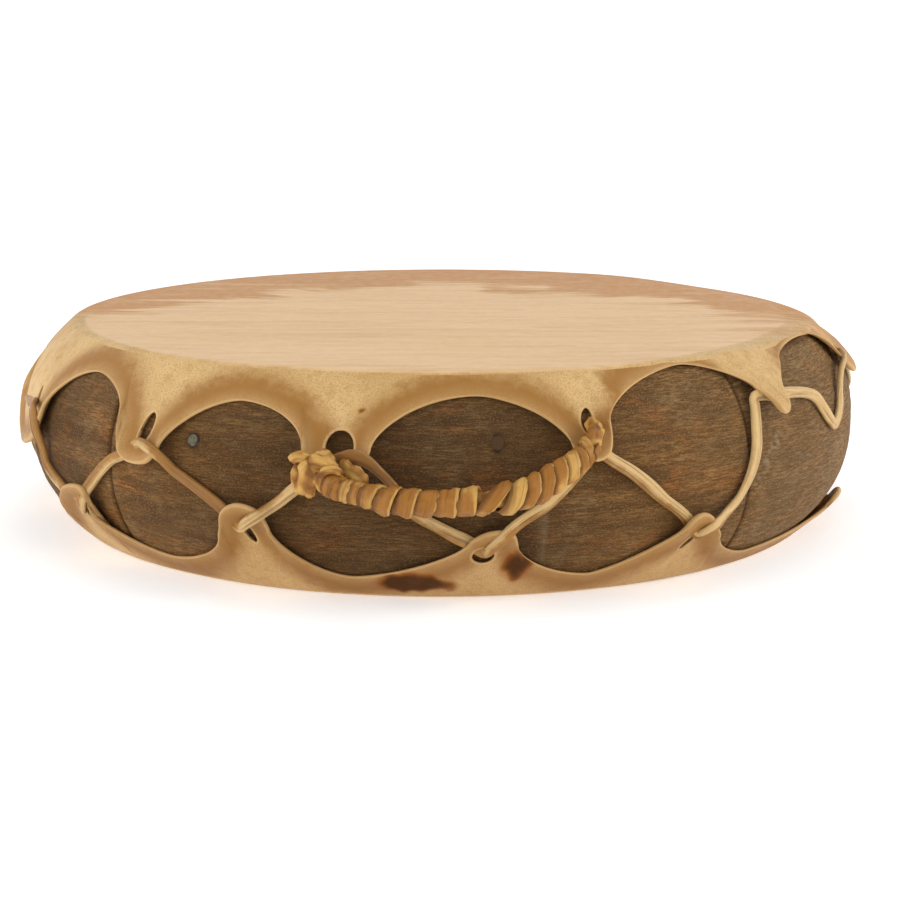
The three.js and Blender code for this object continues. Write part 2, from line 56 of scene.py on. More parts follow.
# Sizes of the shell and the skins
RIM_DRAW_IN = 26.7
BULGE_POWER = 2.4
WALL = 14.0
SKIN = 1.8
FIT = 0.8
EDGE_ROUND = 3.0
SEAM = 0.3
MID = TOTAL_HEIGHT / 2
SHELL_HALF = MID - SKIN - FIT
DEGREES_PER_MM = math.degrees(1 / BELLY_RADIUS)

# How far a tab's lip stands off the wood, and how fast that dies away beside the tab
LIP_LIFT = 5.4
LIP_FADE = 6
# A tab stands off fully near its tip, then less and less, up to its reach and its lift together
LIFT_REACH = 14.0
LIFT_FULL = 3.0
LIFT_POWER = 1.5

# A slot's lean is in degrees. An arch has a power for each side, where 2 gives an ellipse.
Slot = namedtuple("Slot", "az level width height lean")
Tab = namedtuple("Tab", "outline lift slot reach", defaults=(LIFT_REACH,))
Arch = namedtuple("Arch", "az level left right")


def oval(az, half, tip, side):
    """The outline of a plain tab, from its left foot to its right one."""
    turn = np.linspace(0, math.pi, 7)
    return [(az - half * math.cos(a), side - (side - tip) * math.sin(a)) for a in turn]


# Tabs, with azimuths and levels of their outlines; levels run from mid height towards the tab's own skin.
# A third number is the share of the tab's lift that the outline has there.
TOP_TABS = [
    Tab([(-83, 14), (-82, 4), (-80, -3.4), (-77, -7.6), (-73.5, -7.2), (-70, -4.4), (-66.8, -1), (-64.4, 3.5),
         (-62.9, 9), (-61.9, 17)], 3.4, Slot(-66.8, 21, 4.2, 13, 6), 6.0),
    Tab([(-41.6, 19), (-41.3, 14.5), (-40.8, 10.2), (-39.6, 7.3), (-38, 6.7), (-36.2, 8.3), (-35.3, 11.2),
         (-34.7, 14.1)], LIP_LIFT, Slot(-37.8, 22, 7.4, 15.4, 14)),
    Tab([(-15.6, 20.3), (-15.3, 15.5), (-14.2, 12.2), (-12.4, 10.6), (-10.5, 11.2), (-9.1, 14), (-8.2, 17.6),
         (-7.8, 21.2)], LIP_LIFT, Slot(-11.5, 22.3, 13.4, 13.6, 0)),
    Tab([(15.2, 21.3), (15.7, 18.2), (16.8, 16.2), (18.3, 16), (19.3, 18.4), (19.8, 22.5), (20, 27),
         (20.1, 32)], LIP_LIFT, Slot(17.6, 32.3, 5.8, 10, 12)),
    Tab([(43.2, 37.8, 0.45), (43.9, 34.9, 0.65), (44.3, 31.4, 0.85), (44.6, 28.3), (45.2, 26.8), (46, 28),
         (46.9, 31.5, 0.85), (47.8, 35.7, 0.65), (49.1, 39.6, 0.48), (50.8, 43.2, 0.34), (52.5, 46.4, 0.22)],
        10, None),
    Tab([(70.4, 50, 0.5), (71.4, 47.4, 0.8), (72, 44), (72.8, 39), (74, 34), (75.6, 30.2), (77.6, 28.4),
         (79.8, 30.4), (81.4, 34.5), (82.6, 40, 0.8)], 4.4, Slot(77.2, 38.6, 5, 6.6, 0)),
]
BOTTOM_TABS = [
    Tab([(-56.6, 24), (-55.4, 19.4), (-53.4, 14.9), (-51, 12.2), (-49.1, 12.1), (-48.2, 15), (-48.1, 20),
         (-48.3, 24)], LIP_LIFT, Slot(-51.2, 24.6, 4.8, 9.6, 30)),
    Tab([(-26.5, 21.5), (-26.1, 16.7), (-25.9, 12.5), (-25.2, 8.9), (-23.8, 6.2), (-22.5, 6.3), (-21.2, 8.1),
         (-20.4, 11.1), (-19.8, 15.5)], LIP_LIFT, Slot(-22.9, 20.4, 4.6, 11.4, 26)),
    Tab([(3.4, 19.2), (4.6, 16.6), (5.8, 15.1), (6.8, 14.8), (7.8, 15.4), (8.5, 17.4), (8.8, 21.2)],
        LIP_LIFT, Slot(5, 27.6, 10.4, 8.4, 0)),
    Tab([(29.8, 19.8), (30.5, 16.8), (31.5, 14.7), (32.5, 14.9), (33.4, 17), (34.2, 20.4), (35.4, 26.2)],
        LIP_LIFT, Slot(31.5, 29.3, 3.4, 10.6, -42)),
    Tab(oval(75, 3.8, 35, 41.5), 3.4, Slot(75, 43, 4.4, 5, 0)),
]
TOP_ARCHES = [
    Arch(-52.0, 41.0, 1.75, 1.8),
    Arch(-25.0, 38.4, 1.65, 1.85),
    Arch(4.3, 43.3, 1.8, 1.7),
    Arch(33.6, 51.2, 1.6, 1.5),
    Arch(63.5, 52.3, 1.8, 2.0),
]
BOTTOM_ARCHES = [
    Arch(-37.5, 42.1, 1.75, 1.7),
    Arch(-11.0, 41.2, 1.7, 1.5),
    Arch(19.0, 41.8, 1.7, 1.3),
    Arch(46.0, 45.2, 1.5, 1.5),
]
TABS = 12
# The tabs and arches out of sight: an arch's level and power, a tab's sizes, its slot's width and height,
# the slot's most lean and its pace. The gap before the first listed tab is in degrees, for each side's skin.
PLAIN_ARCH = (43.0, 1.8)
PLAIN_TAB = {"half": 3.4, "tip": 9.0, "varies": 2.0, "pace": 2.1, "side": 8.0, "slot_above": 13.0}
PLAIN_SLOT = (6.6, 13.0)
PLAIN_LEAN = (12.0, 1.3)
PLAIN_LIFT = 3.6
LAST_GAP = {1: 31.0, -1: 40.0}
# The crease down the folded tab, from the rim to its tip: its ends, half width and height
CREASE = ((44.2, 51.5), (45.4, 29), 4.6, 2.6)


# Shared geometry


def wood_radius(level):
    """The distance from the axis to the wood's outer face."""
    return BELLY_RADIUS - RIM_DRAW_IN * np.minimum(1, np.abs(level) / MID) ** BULGE_POWER


def at(az, level, radius):
    """Points in millimetres from azimuths, levels and distances from the axis."""
    a = np.radians(az)
    return np.stack([radius * np.sin(a), -radius * np.cos(a), MID + level + 0 * a], axis=-1)


def off_wood(az, level, off):
    return at(np.asarray(az, float), np.asarray(level, float), wood_radius(level) + off)


def smooth(value, low, high):
    t = np.clip((np.asarray(value, float) - low) / (high - low), 0, 1)
    return t * t * (3 - 2 * t)


def blend(a, b, share):
    return a + (b - a) * share


def unit(vectors):
    return vectors / np.maximum(np.linalg.norm(vectors, axis=-1, keepdims=True), 1e-9)


def dot(a, b):
    return np.sum(a * b, axis=-1, keepdims=True)


def hump(value, width):
    """A rounded hump, 1 where the value is 0."""
    return np.exp(-((value / width) ** 2))


def looked_up(value, table):
    """A value's entry in a table of pairs, on straight lines between them."""
    return np.interp(value, *np.transpose(table))


def full_turn(steps):
    return np.linspace(0, 2 * math.pi, steps, endpoint=False)


def running(steps):
    return np.concatenate([[0], np.cumsum(steps)])


def resampled(wanted, length, points):
    """Points at the wanted lengths along a line of them."""
    return np.stack([np.interp(wanted, length, column) for column in points.T], axis=-1)


# Large odd numbers that scatter whole-numbered places
HASH_MASK = 0xFFFFFFFF
HASH_SPREAD = (374761393, 668265263, 1440662683, 974634777)
HASH_STIR = (1274126177, 2246822519)


def lattice(ix, iy, iz, seed):
    """A repeatable value from -1 to 1 for each whole-numbered place."""
    n = sum(k * prime for k, prime in zip((ix, iy, iz, seed), HASH_SPREAD)) & HASH_MASK
    n = ((n ^ (n >> 13)) * HASH_STIR[0]) & HASH_MASK
    n = ((n ^ (n >> 15)) * HASH_STIR[1]) & HASH_MASK
    return ((n >> 8) & 0xFFFF) / 0x7FFF - 1.0


def noise(points, size, seed=0):
    """Smooth noise from about -1 to 1, with lumps of the given size in millimetres."""
    q = np.asarray(points, float) / np.asarray(size, float)
    cell = np.floor(q).astype(np.int64)
    f = q - cell
    w = f * f * (3 - 2 * f)
    total = 0.0
    for corner in np.ndindex(2, 2, 2):
        share = 1.0
        for axis, step in enumerate(corner):
            share = share * (w[..., axis] if step else 1 - w[..., axis])
        total = total + share * lattice(*(cell[..., k] + corner[k] for k in range(3)), seed)
    return total


def layered(points, size, seed=0, layers=3):
    size = np.asarray(size, float)
    return sum(noise(points, size / 2**k, seed + k) / 2**k for k in range(layers))


def along(values, size, seed):
    """Smooth noise along one measure."""
    v = np.asarray(values, float)
    return noise(np.stack([v, 0 * v, 0 * v], axis=-1), size, seed)


def grid_quads(rows, columns):
    """Faces of a grid of points stored row by row, joined round its columns."""
    r = np.arange(rows - 1)[:, None]
    c = np.arange(columns)[None, :]
    d = (c + 1) % columns
    corners = [r * columns + c, (r + 1) * columns + c, (r + 1) * columns + d, r * columns + d]
    return np.stack(corners, axis=-1)


def tube_faces(stations, sides):
    """Faces of a run of rings, closed at both ends."""
    faces = grid_quads(stations, sides).reshape(-1, 4).tolist()
    faces.append(list(range(sides))[::-1])
    faces.append([(stations - 1) * sides + k for k in range(sides)])
    return faces


SPLINE_STEPS = 24


def spline(points, spacing, closed=False):
    """A smooth line through points as evenly spaced places, and its length."""
    p = np.asarray(points, float)
    count = len(p)
    spans = count if closed else count - 1
    dense = []
    t = np.linspace(0, 1, SPLINE_STEPS, endpoint=False)
    for i in range(spans):
        ids = [i - 1, i, i + 1, i + 2]
        a, b, c, d = (p[k % count] if closed else p[min(max(k, 0), count - 1)] for k in ids)
        knots = [0.0]
        for q, r in ((a, b), (b, c), (c, d)):
            knots.append(knots[-1] + max(np.linalg.norm(r[:3] - q[:3]), 1e-3) ** 0.5)
        k0, k1, k2, k3 = knots
        x = (k1 + t * (k2 - k1))[:, None]
        l1 = (k1 - x) / (k1 - k0) * a + (x - k0) / (k1 - k0) * b
        l2 = (k2 - x) / (k2 - k1) * b + (x - k1) / (k2 - k1) * c
        l3 = (k3 - x) / (k3 - k2) * c + (x - k2) / (k3 - k2) * d
        m1 = (k2 - x) / (k2 - k0) * l1 + (x - k0) / (k2 - k0) * l2
        m2 = (k3 - x) / (k3 - k1) * l2 + (x - k1) / (k3 - k1) * l3
        dense.append((k2 - x) / (k2 - k1) * m1 + (x - k1) / (k2 - k1) * m2)
    dense = np.concatenate(dense)
    ring = np.vstack([dense, dense[:1] if closed else p[-1:]])
    length = running(np.linalg.norm(np.diff(ring[:, :3], axis=0), axis=1))
    places = max(8, int(round(length[-1] / spacing)))
    wanted = np.linspace(0, length[-1], places, endpoint=not closed)
    return resampled(wanted, length, ring), length[-1]


def add_piece(name, points, faces, material, nodes, attributes):
    """Makes a shown piece from points in millimetres, on the drum's one body."""
    mesh = bpy.data.meshes.new(name)
    mesh.from_pydata((np.asarray(points) * MM).tolist(), [], [list(map(int, f)) for f in faces])
    for key, values in attributes.items():
        values = np.asarray(values, np.float32)
        kind, field = ("FLOAT_VECTOR", "vector") if values.ndim == 2 else ("FLOAT", "value")
        mesh.attributes.new(key, kind, "POINT").data.foreach_set(field, values.ravel())
    work = bmesh.new()
    work.from_mesh(mesh)
    bmesh.ops.recalc_face_normals(work, faces=work.faces)
    work.to_mesh(mesh)
    work.free()
    mesh.polygons.foreach_set("use_smooth", np.ones(len(mesh.polygons), bool))
    mesh.materials.append(material)
    piece = bpy.data.objects.new(name, mesh)
    bpy.context.scene.collection.objects.link(piece)
    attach(piece, "root")
    if nodes:
        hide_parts(*nodes)


# Materials

DULL = 0.15


class Shade:
    """A material's nodes, with short calls for the ones used here."""

    def __init__(self, name, roughness, specular=0.3):
        self.material = bpy.data.materials.new(name)
        self.material.use_nodes = True
        self.tree = self.material.node_tree
        self.shader = self.tree.nodes["Principled BSDF"]
        self.shader.inputs["Roughness"].default_value = roughness
        self.shader.inputs["Specular IOR Level"].default_value = specular
        self.place = self.tree.nodes.new("ShaderNodeTexCoord").outputs["Object"]

    def node(self, kind, values, **options):
        made = self.tree.nodes.new(kind)
        for key, value in options.items():
            setattr(made, key, value)
        for key, value in values.items():
            if isinstance(value, bpy.types.NodeSocket):
                self.tree.links.new(value, made.inputs[key])
            else:
                made.inputs[key].default_value = value
        return made

    def attribute(self, name, output="Fac"):
        return self.node("ShaderNodeAttribute", {}, attribute_name=name).outputs[output]

    def stretched(self, vector, scale):
        return self.node("ShaderNodeMapping", {"Vector": vector, "Scale": scale}).outputs["Vector"]

    def noise(self, vector, scale, detail=4.0, roughness=0.55, distortion=0.0):
        values = {"Vector": vector, "Scale": scale, "Detail": detail, "Roughness": roughness}
        return self.node("ShaderNodeTexNoise", {**values, "Distortion": distortion}).outputs["Fac"]

    def drawn_out(self, vector, scale, *rest):
        """Noise stretched along one way."""
        return self.noise(self.stretched(vector, scale), 1.0, *rest)

    def ramp(self, value, low, high, start=0.0, end=1.0):
        values = {"Value": value, "From Min": low, "From Max": high, "To Min": start, "To Max": end}
        return self.node("ShaderNodeMapRange", values, interpolation_type="SMOOTHSTEP").outputs["Result"]

    def maths(self, operation, a, b):
        return self.node("ShaderNodeMath", {0: a, 1: b}, operation=operation).outputs[0]

    def swing(self, value, most):
        """A noise's value taken about its middle and made larger."""
        return self.maths("MULTIPLY", self.maths("SUBTRACT", value, 0.5), most)

    def plus(self, a, b):
        return self.maths("ADD", a, b)

    def times(self, value, factor):
        return self.maths("MULTIPLY", value, factor)

    def mix(self, share, a, b, blend_type="MIX"):
        a, b = (c if isinstance(c, bpy.types.NodeSocket) else (*c, 1) for c in (a, b))
        values = {0: share, 6: a, 7: b}
        return self.node("ShaderNodeMix", values, data_type="RGBA", blend_type=blend_type).outputs[2]

    def layers(self, colour, rows):
        """Lays colours over one another, each as far as its measure's ramp lets it."""
        for value, low, high, most, over in rows:
            colour = self.mix(self.ramp(value, low, high, 0, most), colour, over)
        return colour

    def finish(self, colour, height, distance, strength, roughness=None):
        self.tree.links.new(colour, self.shader.inputs["Base Color"])
        if roughness is not None:
            self.tree.links.new(roughness, self.shader.inputs["Roughness"])
        values = {"Height": height, "Distance": distance, "Strength": strength}
        bump = self.node("ShaderNodeBump", values).outputs["Normal"]
        self.tree.links.new(bump, self.shader.inputs["Normal"])
        return self.material


# Rawhide: the dried skin, pale where it is stretched and tan along its cut edges

PEACH = (0.725, 0.485, 0.26)
PEACH_DEEP = (0.61, 0.37, 0.175)
HAIR_BROWN = (0.49, 0.225, 0.062)
CREAM = (0.67, 0.45, 0.2)
TAN = (0.305, 0.135, 0.024)
OLIVE = (0.44, 0.26, 0.085)
CUT_EDGE_HIGHLIGHT = (0.66, 0.42, 0.18)
SINGED = (0.3, 0.085, 0.012)
SCORCH = (0.06, 0.022, 0.004)


def rawhide(name, seed, worn):
    """worn is how far the skin has darkened all over, from 0 to 1."""
    s = Shade(name, 0.5)
    shifted = s.node("ShaderNodeMapping", {"Vector": s.place, "Location": (seed, seed, 0)}).outputs[0]
    streaks = s.drawn_out(shifted, (9, 70, 60), 6.0, 0.65, 1.0)
    lines = s.drawn_out(shifted, (20, 230, 200), 5.0, 0.65, 0.6)
    hairs = s.drawn_out(shifted, (42, 560, 300), 3.0, 0.6, 0.3)
    clouds = s.noise(shifted, 16.0, 4.0, 0.6)
    grain = s.noise(shifted, 1300.0, 3.0, 0.7)
    mottle = s.noise(shifted, 140.0, 5.0, 0.7)

    flat = s.layers(PEACH, [
        (streaks, 0.42, 0.7, 0.75, PEACH_DEEP),
        (clouds, 0.45, 0.7, 0.45, CREAM),
        (lines, 0.5, 0.72, 0.6, PEACH_DEEP),
        (hairs, 0.68, 0.78, 0.6, HAIR_BROWN),
    ])
    skirt = s.layers(CREAM, [(clouds, 0.35, 0.7, 0.55, OLIVE), (mottle, 0.45, 0.75, 0.5, OLIVE)])
    # the edge measure also carries painted shade beside the crease on the top skin
    edge = s.attribute("edge")
    reach = s.plus(edge, s.plus(s.swing(clouds, 14.0), s.swing(mottle, 16.0)))
    band = s.times(s.ramp(reach, 6, 18, 0.95, 0), s.ramp(edge, 0, 7, 0.6, 1))
    skirt = s.mix(band, skirt, TAN)
    skirt = s.layers(skirt, [(grain, 0.42, 0.68, 0.5, TAN), (grain, 0.56, 0.72, 0.3, HAIR_BROWN)])

    beyond = s.plus(s.attribute("beyond"), s.swing(mottle, 5.0))
    colour = s.mix(s.ramp(beyond, -1.5, 1.5), flat, skirt)
    patch = s.plus(s.plus(s.attribute("patch"), s.swing(streaks, 1.3)), s.swing(lines, 1.1))
    colour = s.mix(s.ramp(patch, 0.15, 0.85, 0, 0.9), colour, HAIR_BROWN)
    # Painted highlight: a thin pale line along the cut edges and slot rims
    colour = s.mix(s.ramp(s.attribute("rim"), 0.5, 1.7, 0.6, 0), colour, CUT_EDGE_HIGHLIGHT)
    stain = s.plus(s.attribute("stain"), s.swing(mottle, 0.5))
    colour = s.layers(colour, [(stain, 0.05, 0.7, 0.8, SINGED), (stain, 0.3, 1.05, 0.93, SCORCH)])
    shine = s.ramp(stain, 0.1, 0.6, 0.22, 0.05)
    s.tree.links.new(shine, s.shader.inputs["Specular IOR Level"])
    colour = s.mix(worn, colour, OLIVE, "MULTIPLY")

    height = s.plus(s.times(grain, 0.5), s.times(mottle, 1.4))
    rough = s.ramp(mottle, 0.3, 0.7, 0.42, 0.62)
    return s.finish(colour, height, 0.0005, 0.8, rough)


# Thong: the same hide cut in strips, rolled and twisted while wet

THONG_PALE_AND_HIGHLIGHT = (0.64, 0.43, 0.185)
THONG_TAN = (0.37, 0.175, 0.035)
THONG_DARK = (0.17, 0.07, 0.016)


def thong_hide(name, tint):
    s = Shade(name, 0.42)
    cloud = s.noise(s.place, 45.0, 4.0, 0.6)
    mottle = s.noise(s.place, 320.0, 4.0, 0.7)
    lines = s.drawn_out(s.attribute("lay", "Vector"), (0.03, 3.2, 1.0), 4.0, 0.6, 0.4)
    # The pale measure carries a painted highlight on one edge and the outer face, painted shade on the other
    # edge, and the hide's own paler clouds
    pale_and_painted_light = s.plus(s.attribute("pale_and_painted_light"), s.swing(cloud, 2.2))
    colour = s.layers(THONG_TAN, [
        (pale_and_painted_light, 0.25, 0.8, 1, THONG_PALE_AND_HIGHLIGHT),
        (lines, 0.48, 0.72, 0.6, THONG_DARK),
        (mottle, 0.5, 0.8, 0.4, THONG_TAN),
        # painted shade in grooves, folds and tucked-under parts, and the browner strands
        (s.attribute("painted_shade_and_dark"), 0, 1, 0.85, THONG_DARK),
    ])
    colour = s.mix(1.0, colour, tint, "MULTIPLY")
    height = s.plus(s.times(lines, 1.6), s.times(mottle, 0.8))
    rough = s.ramp(mottle, 0.3, 0.7, 0.32, 0.55)
    return s.finish(colour, height, 0.0005, 0.9, rough)


# Wood: dark and weathered, its grain running round the ring

WOOD_BROWN = (0.285, 0.137, 0.04)
WOOD_DARK = (0.083, 0.038, 0.01)
WOOD_RED = (0.38, 0.13, 0.034)
WOOD_GREY = (0.32, 0.2, 0.086)
WOOD_RAW = (0.46, 0.34, 0.2)
# How light the wood is at each azimuth: partly its own tone, partly painted light, with painted shade at the
# front middle where the lamps reach less and painted light towards the lamp-lit sides
WOOD_TONES_AND_PAINTED_LIGHT = (
    (-180, 1.1), (-65, 1.15), (-56, 1.15), (-45, 1.45), (-36, 1.35), (-26, 1.05), (-14, 0.8), (-4, 0.86),
    (4, 0.96), (10, 0.96), (20, 1.3), (30, 1.45), (45, 1.4), (60, 1.4), (68, 1.6), (85, 1.4), (120, 1.1),
    (180, 1.1),
)


def wood_grain():
    s = Shade("wood_grain", 0.62, DULL)
    lay = s.attribute("lay", "Vector")
    fibres = s.drawn_out(lay, (0.16, 1.5, 0.5), 6.0, 0.72, 0.5)
    pores = s.drawn_out(lay, (0.6, 3.4, 1.0), 4.0, 0.75, 0.3)
    bands = s.drawn_out(lay, (0.01, 0.1, 0.1), 4.0, 0.6, 1.0)
    patches = s.drawn_out(lay, (0.03, 0.09, 0.1), 5.0, 0.65, 0.8)
    blotch = s.noise(lay, 0.05, 4.0, 0.6)
    flecks = s.drawn_out(lay, (0.9, 1.9, 1.0), 3.0, 0.75)

    colour = s.layers(WOOD_BROWN, [
        (bands, 0.3, 0.7, 1, WOOD_DARK),
        (patches, 0.5, 0.68, 0.75, WOOD_RED),
        (blotch, 0.48, 0.7, 0.6, WOOD_GREY),
    ])
    colour = s.mix(s.attribute("greyer"), colour, WOOD_GREY)
    colour = s.mix(s.ramp(fibres, 0.42, 0.64, 0.85, 0), colour, WOOD_DARK)
    colour = s.layers(colour, [(flecks, 0.53, 0.68, 0.8, WOOD_GREY), (pores, 0.52, 0.66, 0.7, WOOD_DARK)])
    # The colour scaled by the wood's own tone and by painted light and shade by azimuth
    toned_and_lit = {0: colour, "Scale": s.attribute("tone")}
    colour = s.node("ShaderNodeVectorMath", toned_and_lit, operation="SCALE").outputs[0]
    colour = s.mix(s.attribute("raw"), colour, WOOD_RAW)
    colour = s.mix(s.attribute("grime"), colour, WOOD_DARK)
    height = s.maths("SUBTRACT", s.times(fibres, 2.2), s.times(pores, 1.2))
    rough = s.ramp(patches, 0.3, 0.7, 0.62, 0.8)
    return s.finish(colour, height, 0.0007, 1.0, rough)


IRON_GREY = (0.14, 0.13, 0.085)
IRON_BROWN = (0.07, 0.045, 0.025)
IRON_BLACK = (0.02, 0.014, 0.01)
PLUG_BROWN = (0.07, 0.034, 0.012)


def rusted_iron():
    s = Shade("rusted_iron", 0.6, DULL)
    speckle = s.noise(s.place, 1500.0, 4.0, 0.7)
    blotch = s.noise(s.place, 420.0, 3.0, 0.6)
    colour = s.mix(s.ramp(blotch, 0.4, 0.65), IRON_GREY, IRON_BROWN)
    colour = s.mix(s.attribute("worn"), colour, PLUG_BROWN)
    # painted shade towards the rim of each nail head
    colour = s.mix(s.attribute("painted_shade_and_dark"), colour, IRON_BLACK)
    return s.finish(colour, speckle, 0.0003, 0.8)


# Skins

# How far out the flat reaches before the skin turns down, by azimuth; it turns down early at the right
FLAT_LIMITS = (
    (-180, 196), (-100, 195), (-79, 194.5), (-57, 197.5), (-40, 201), (0, 202.5), (20, 203), (27, 201),
    (33, 197), (40, 193.5), (50, 190), (63, 187), (85, 189), (110, 194), (180, 196),
)
# How far the columns are spaced evenly at the rim, and how they turn from there to the cut edge
RIM_EVENING = 0.35
RIM_TURN = 0.8
# How far the flat sinks towards the right side, and the radius where that begins
EASED_DROP = 2.0
EASED_FROM = 176.0
# The narrowest strip left below the bend, and the steps along tabs and arches
LEAST_STRIP = 1.3
TIP_SPACING = 1.35
ARCH_SPACING = 2.2
OUTLINE_STEP = 0.5
ARCH_STEPS = 240
# Radii of the flat's rows, then the bend over the rim, the skirt and the rounded cut edge
FLAT_ROWS = (30, 64, 96, 122, 143, 158, 169, 177, 184, 190, 195.5)
BEND_START = 198.2
BEND_CORNER = 201.3
BEND_DROP = 1.8
BEND_ROWS = 4
SKIRT_ROWS = 33
EDGE_ROWS = 3
# The bead along a cut edge, and how far a tab's lip rolls outwards
BEAD = 0.12
BEAD_WIDTH = 1.4
LIP_ROLL = 1.0
LIP_ROLL_INSIDE = 0.6
# Waves of the dried skin: all over the skirt, at the bend above a tab, and in the flat
RIPPLE = 0.35
PLEATS = 0.55
SAG = 0.35
# Values that stand for a long way: from a cut edge, from a slot, and past the end of the flat
FAR_FROM_EDGE = 40.0
FAR_FROM_SLOT = 99.0
PAST_FLAT = 30.0


def all_tabs(front, side):
    """The ring of tabs: the front ones as listed, the others spaced evenly over the rest of the turn."""
    tabs = list(front)
    hidden = TABS - len(front)
    last = front[-1].slot.az
    spare = 360 + front[0].slot.az - LAST_GAP[side] - last
    for i in range(1, hidden + 1):
        az = last + spare * i / hidden
        tip = PLAIN_TAB["tip"] + PLAIN_TAB["varies"] * math.sin(i * PLAIN_TAB["pace"])
        lean = PLAIN_LEAN[0] * math.sin(i * PLAIN_LEAN[1])
        slot = Slot(az, tip + PLAIN_TAB["slot_above"], *PLAIN_SLOT, lean)
        tabs.append(Tab(oval(az, PLAIN_TAB["half"], tip, tip + PLAIN_TAB["side"]), PLAIN_LIFT, slot))
    return tabs


def lift_at(lift, distance, reach):
    """How far a tab stands off the wood at a distance from its cut edge."""
    most = reach + lift
    return lift * np.clip((most - distance) / (most - LIFT_FULL), 0, 1) ** LIFT_POWER


def edge_columns(tabs, arches):
    """The cut edge as even steps: azimuth, level, lift, share of the turn, closeness to a tab and reach."""
    runs = []
    for i, tab in enumerate(tabs):
        after = tabs[(i + 1) % len(tabs)]
        turn = 360 if i + 1 == len(tabs) else 0
        outline = np.array([[*p, 1][:3] for p in tab.outline], float) / [DEGREES_PER_MM, 1, 1]
        line, _ = spline(outline, OUTLINE_STEP)
        part = np.linspace(0, 1, len(line))
        tip = [line[:, 0] * DEGREES_PER_MM, line[:, 1], tab.lift * line[:, 2], i + part / 3, 1 + 0 * part,
               tab.reach + 0 * part]
        runs.append((TIP_SPACING, np.array(tip)))

        left, left_level, left_lift = [*tab.outline[-1], 1][:3]
        right, right_level, right_lift = [*after.outline[0], 1][:3]
        right += turn
        plain = Arch((left + right) / 2, *PLAIN_ARCH, PLAIN_ARCH[1])
        arch = arches[i] if i < len(arches) else plain
        a = np.linspace(0, math.pi, ARCH_STEPS)
        before = a < math.pi / 2
        power = 2 / np.where(before, arch.left, arch.right)
        off = np.abs(np.cos(a)) ** power
        az = arch.az + (np.where(before, left, right) - arch.az) * off
        foot = np.where(before, left_level, right_level)
        level = foot + (arch.level - foot) * np.sin(a) ** power
        fade = np.abs(np.cos(a)) ** LIP_FADE
        slower = np.where(before, tab.lift, after.lift)
        slower = np.abs(np.cos(a)) ** (LIP_FADE * np.minimum(1, LIP_LIFT / slower) ** 1.5)
        lift = np.where(before, tab.lift * left_lift, after.lift * right_lift) * slower
        reach = np.where(before, tab.reach, after.reach)
        runs.append((ARCH_SPACING, np.array([az, level, lift, i + 1 / 3 + a / math.pi * 2 / 3, fade, reach])))
    columns = []
    for spacing, run in runs:
        length = running(np.hypot(np.diff(run[0]) / DEGREES_PER_MM, np.diff(run[1])))
        wanted = np.linspace(0, length[-1], max(4, round(length[-1] / spacing)), endpoint=False)
        columns.append(np.array([np.interp(wanted, length, line) for line in run]))
    return np.hstack(columns)


def flat_limit(az):
    return looked_up((np.asarray(az) + 180) % 360 - 180, FLAT_LIMITS)


def in_slot(slot, az, level):
    """Places relative to a slot, in millimetres along its own axes, and their share of its radius."""
    lean = math.radians(slot.lean)
    x = (az - slot.az) / DEGREES_PER_MM
    y = level - slot.level
    across = x * math.cos(lean) - y * math.sin(lean)
    upward = x * math.sin(lean) + y * math.cos(lean)
    share = np.hypot(across / (slot.width / 2), upward / (slot.height / 2))
    return across, upward, share


def from_slot(slot, across, upward):
    lean = math.radians(slot.lean)
    x = across * math.cos(lean) + upward * math.sin(lean)
    y = -across * math.sin(lean) + upward * math.cos(lean)
    return slot.az + x * DEGREES_PER_MM, slot.level + y


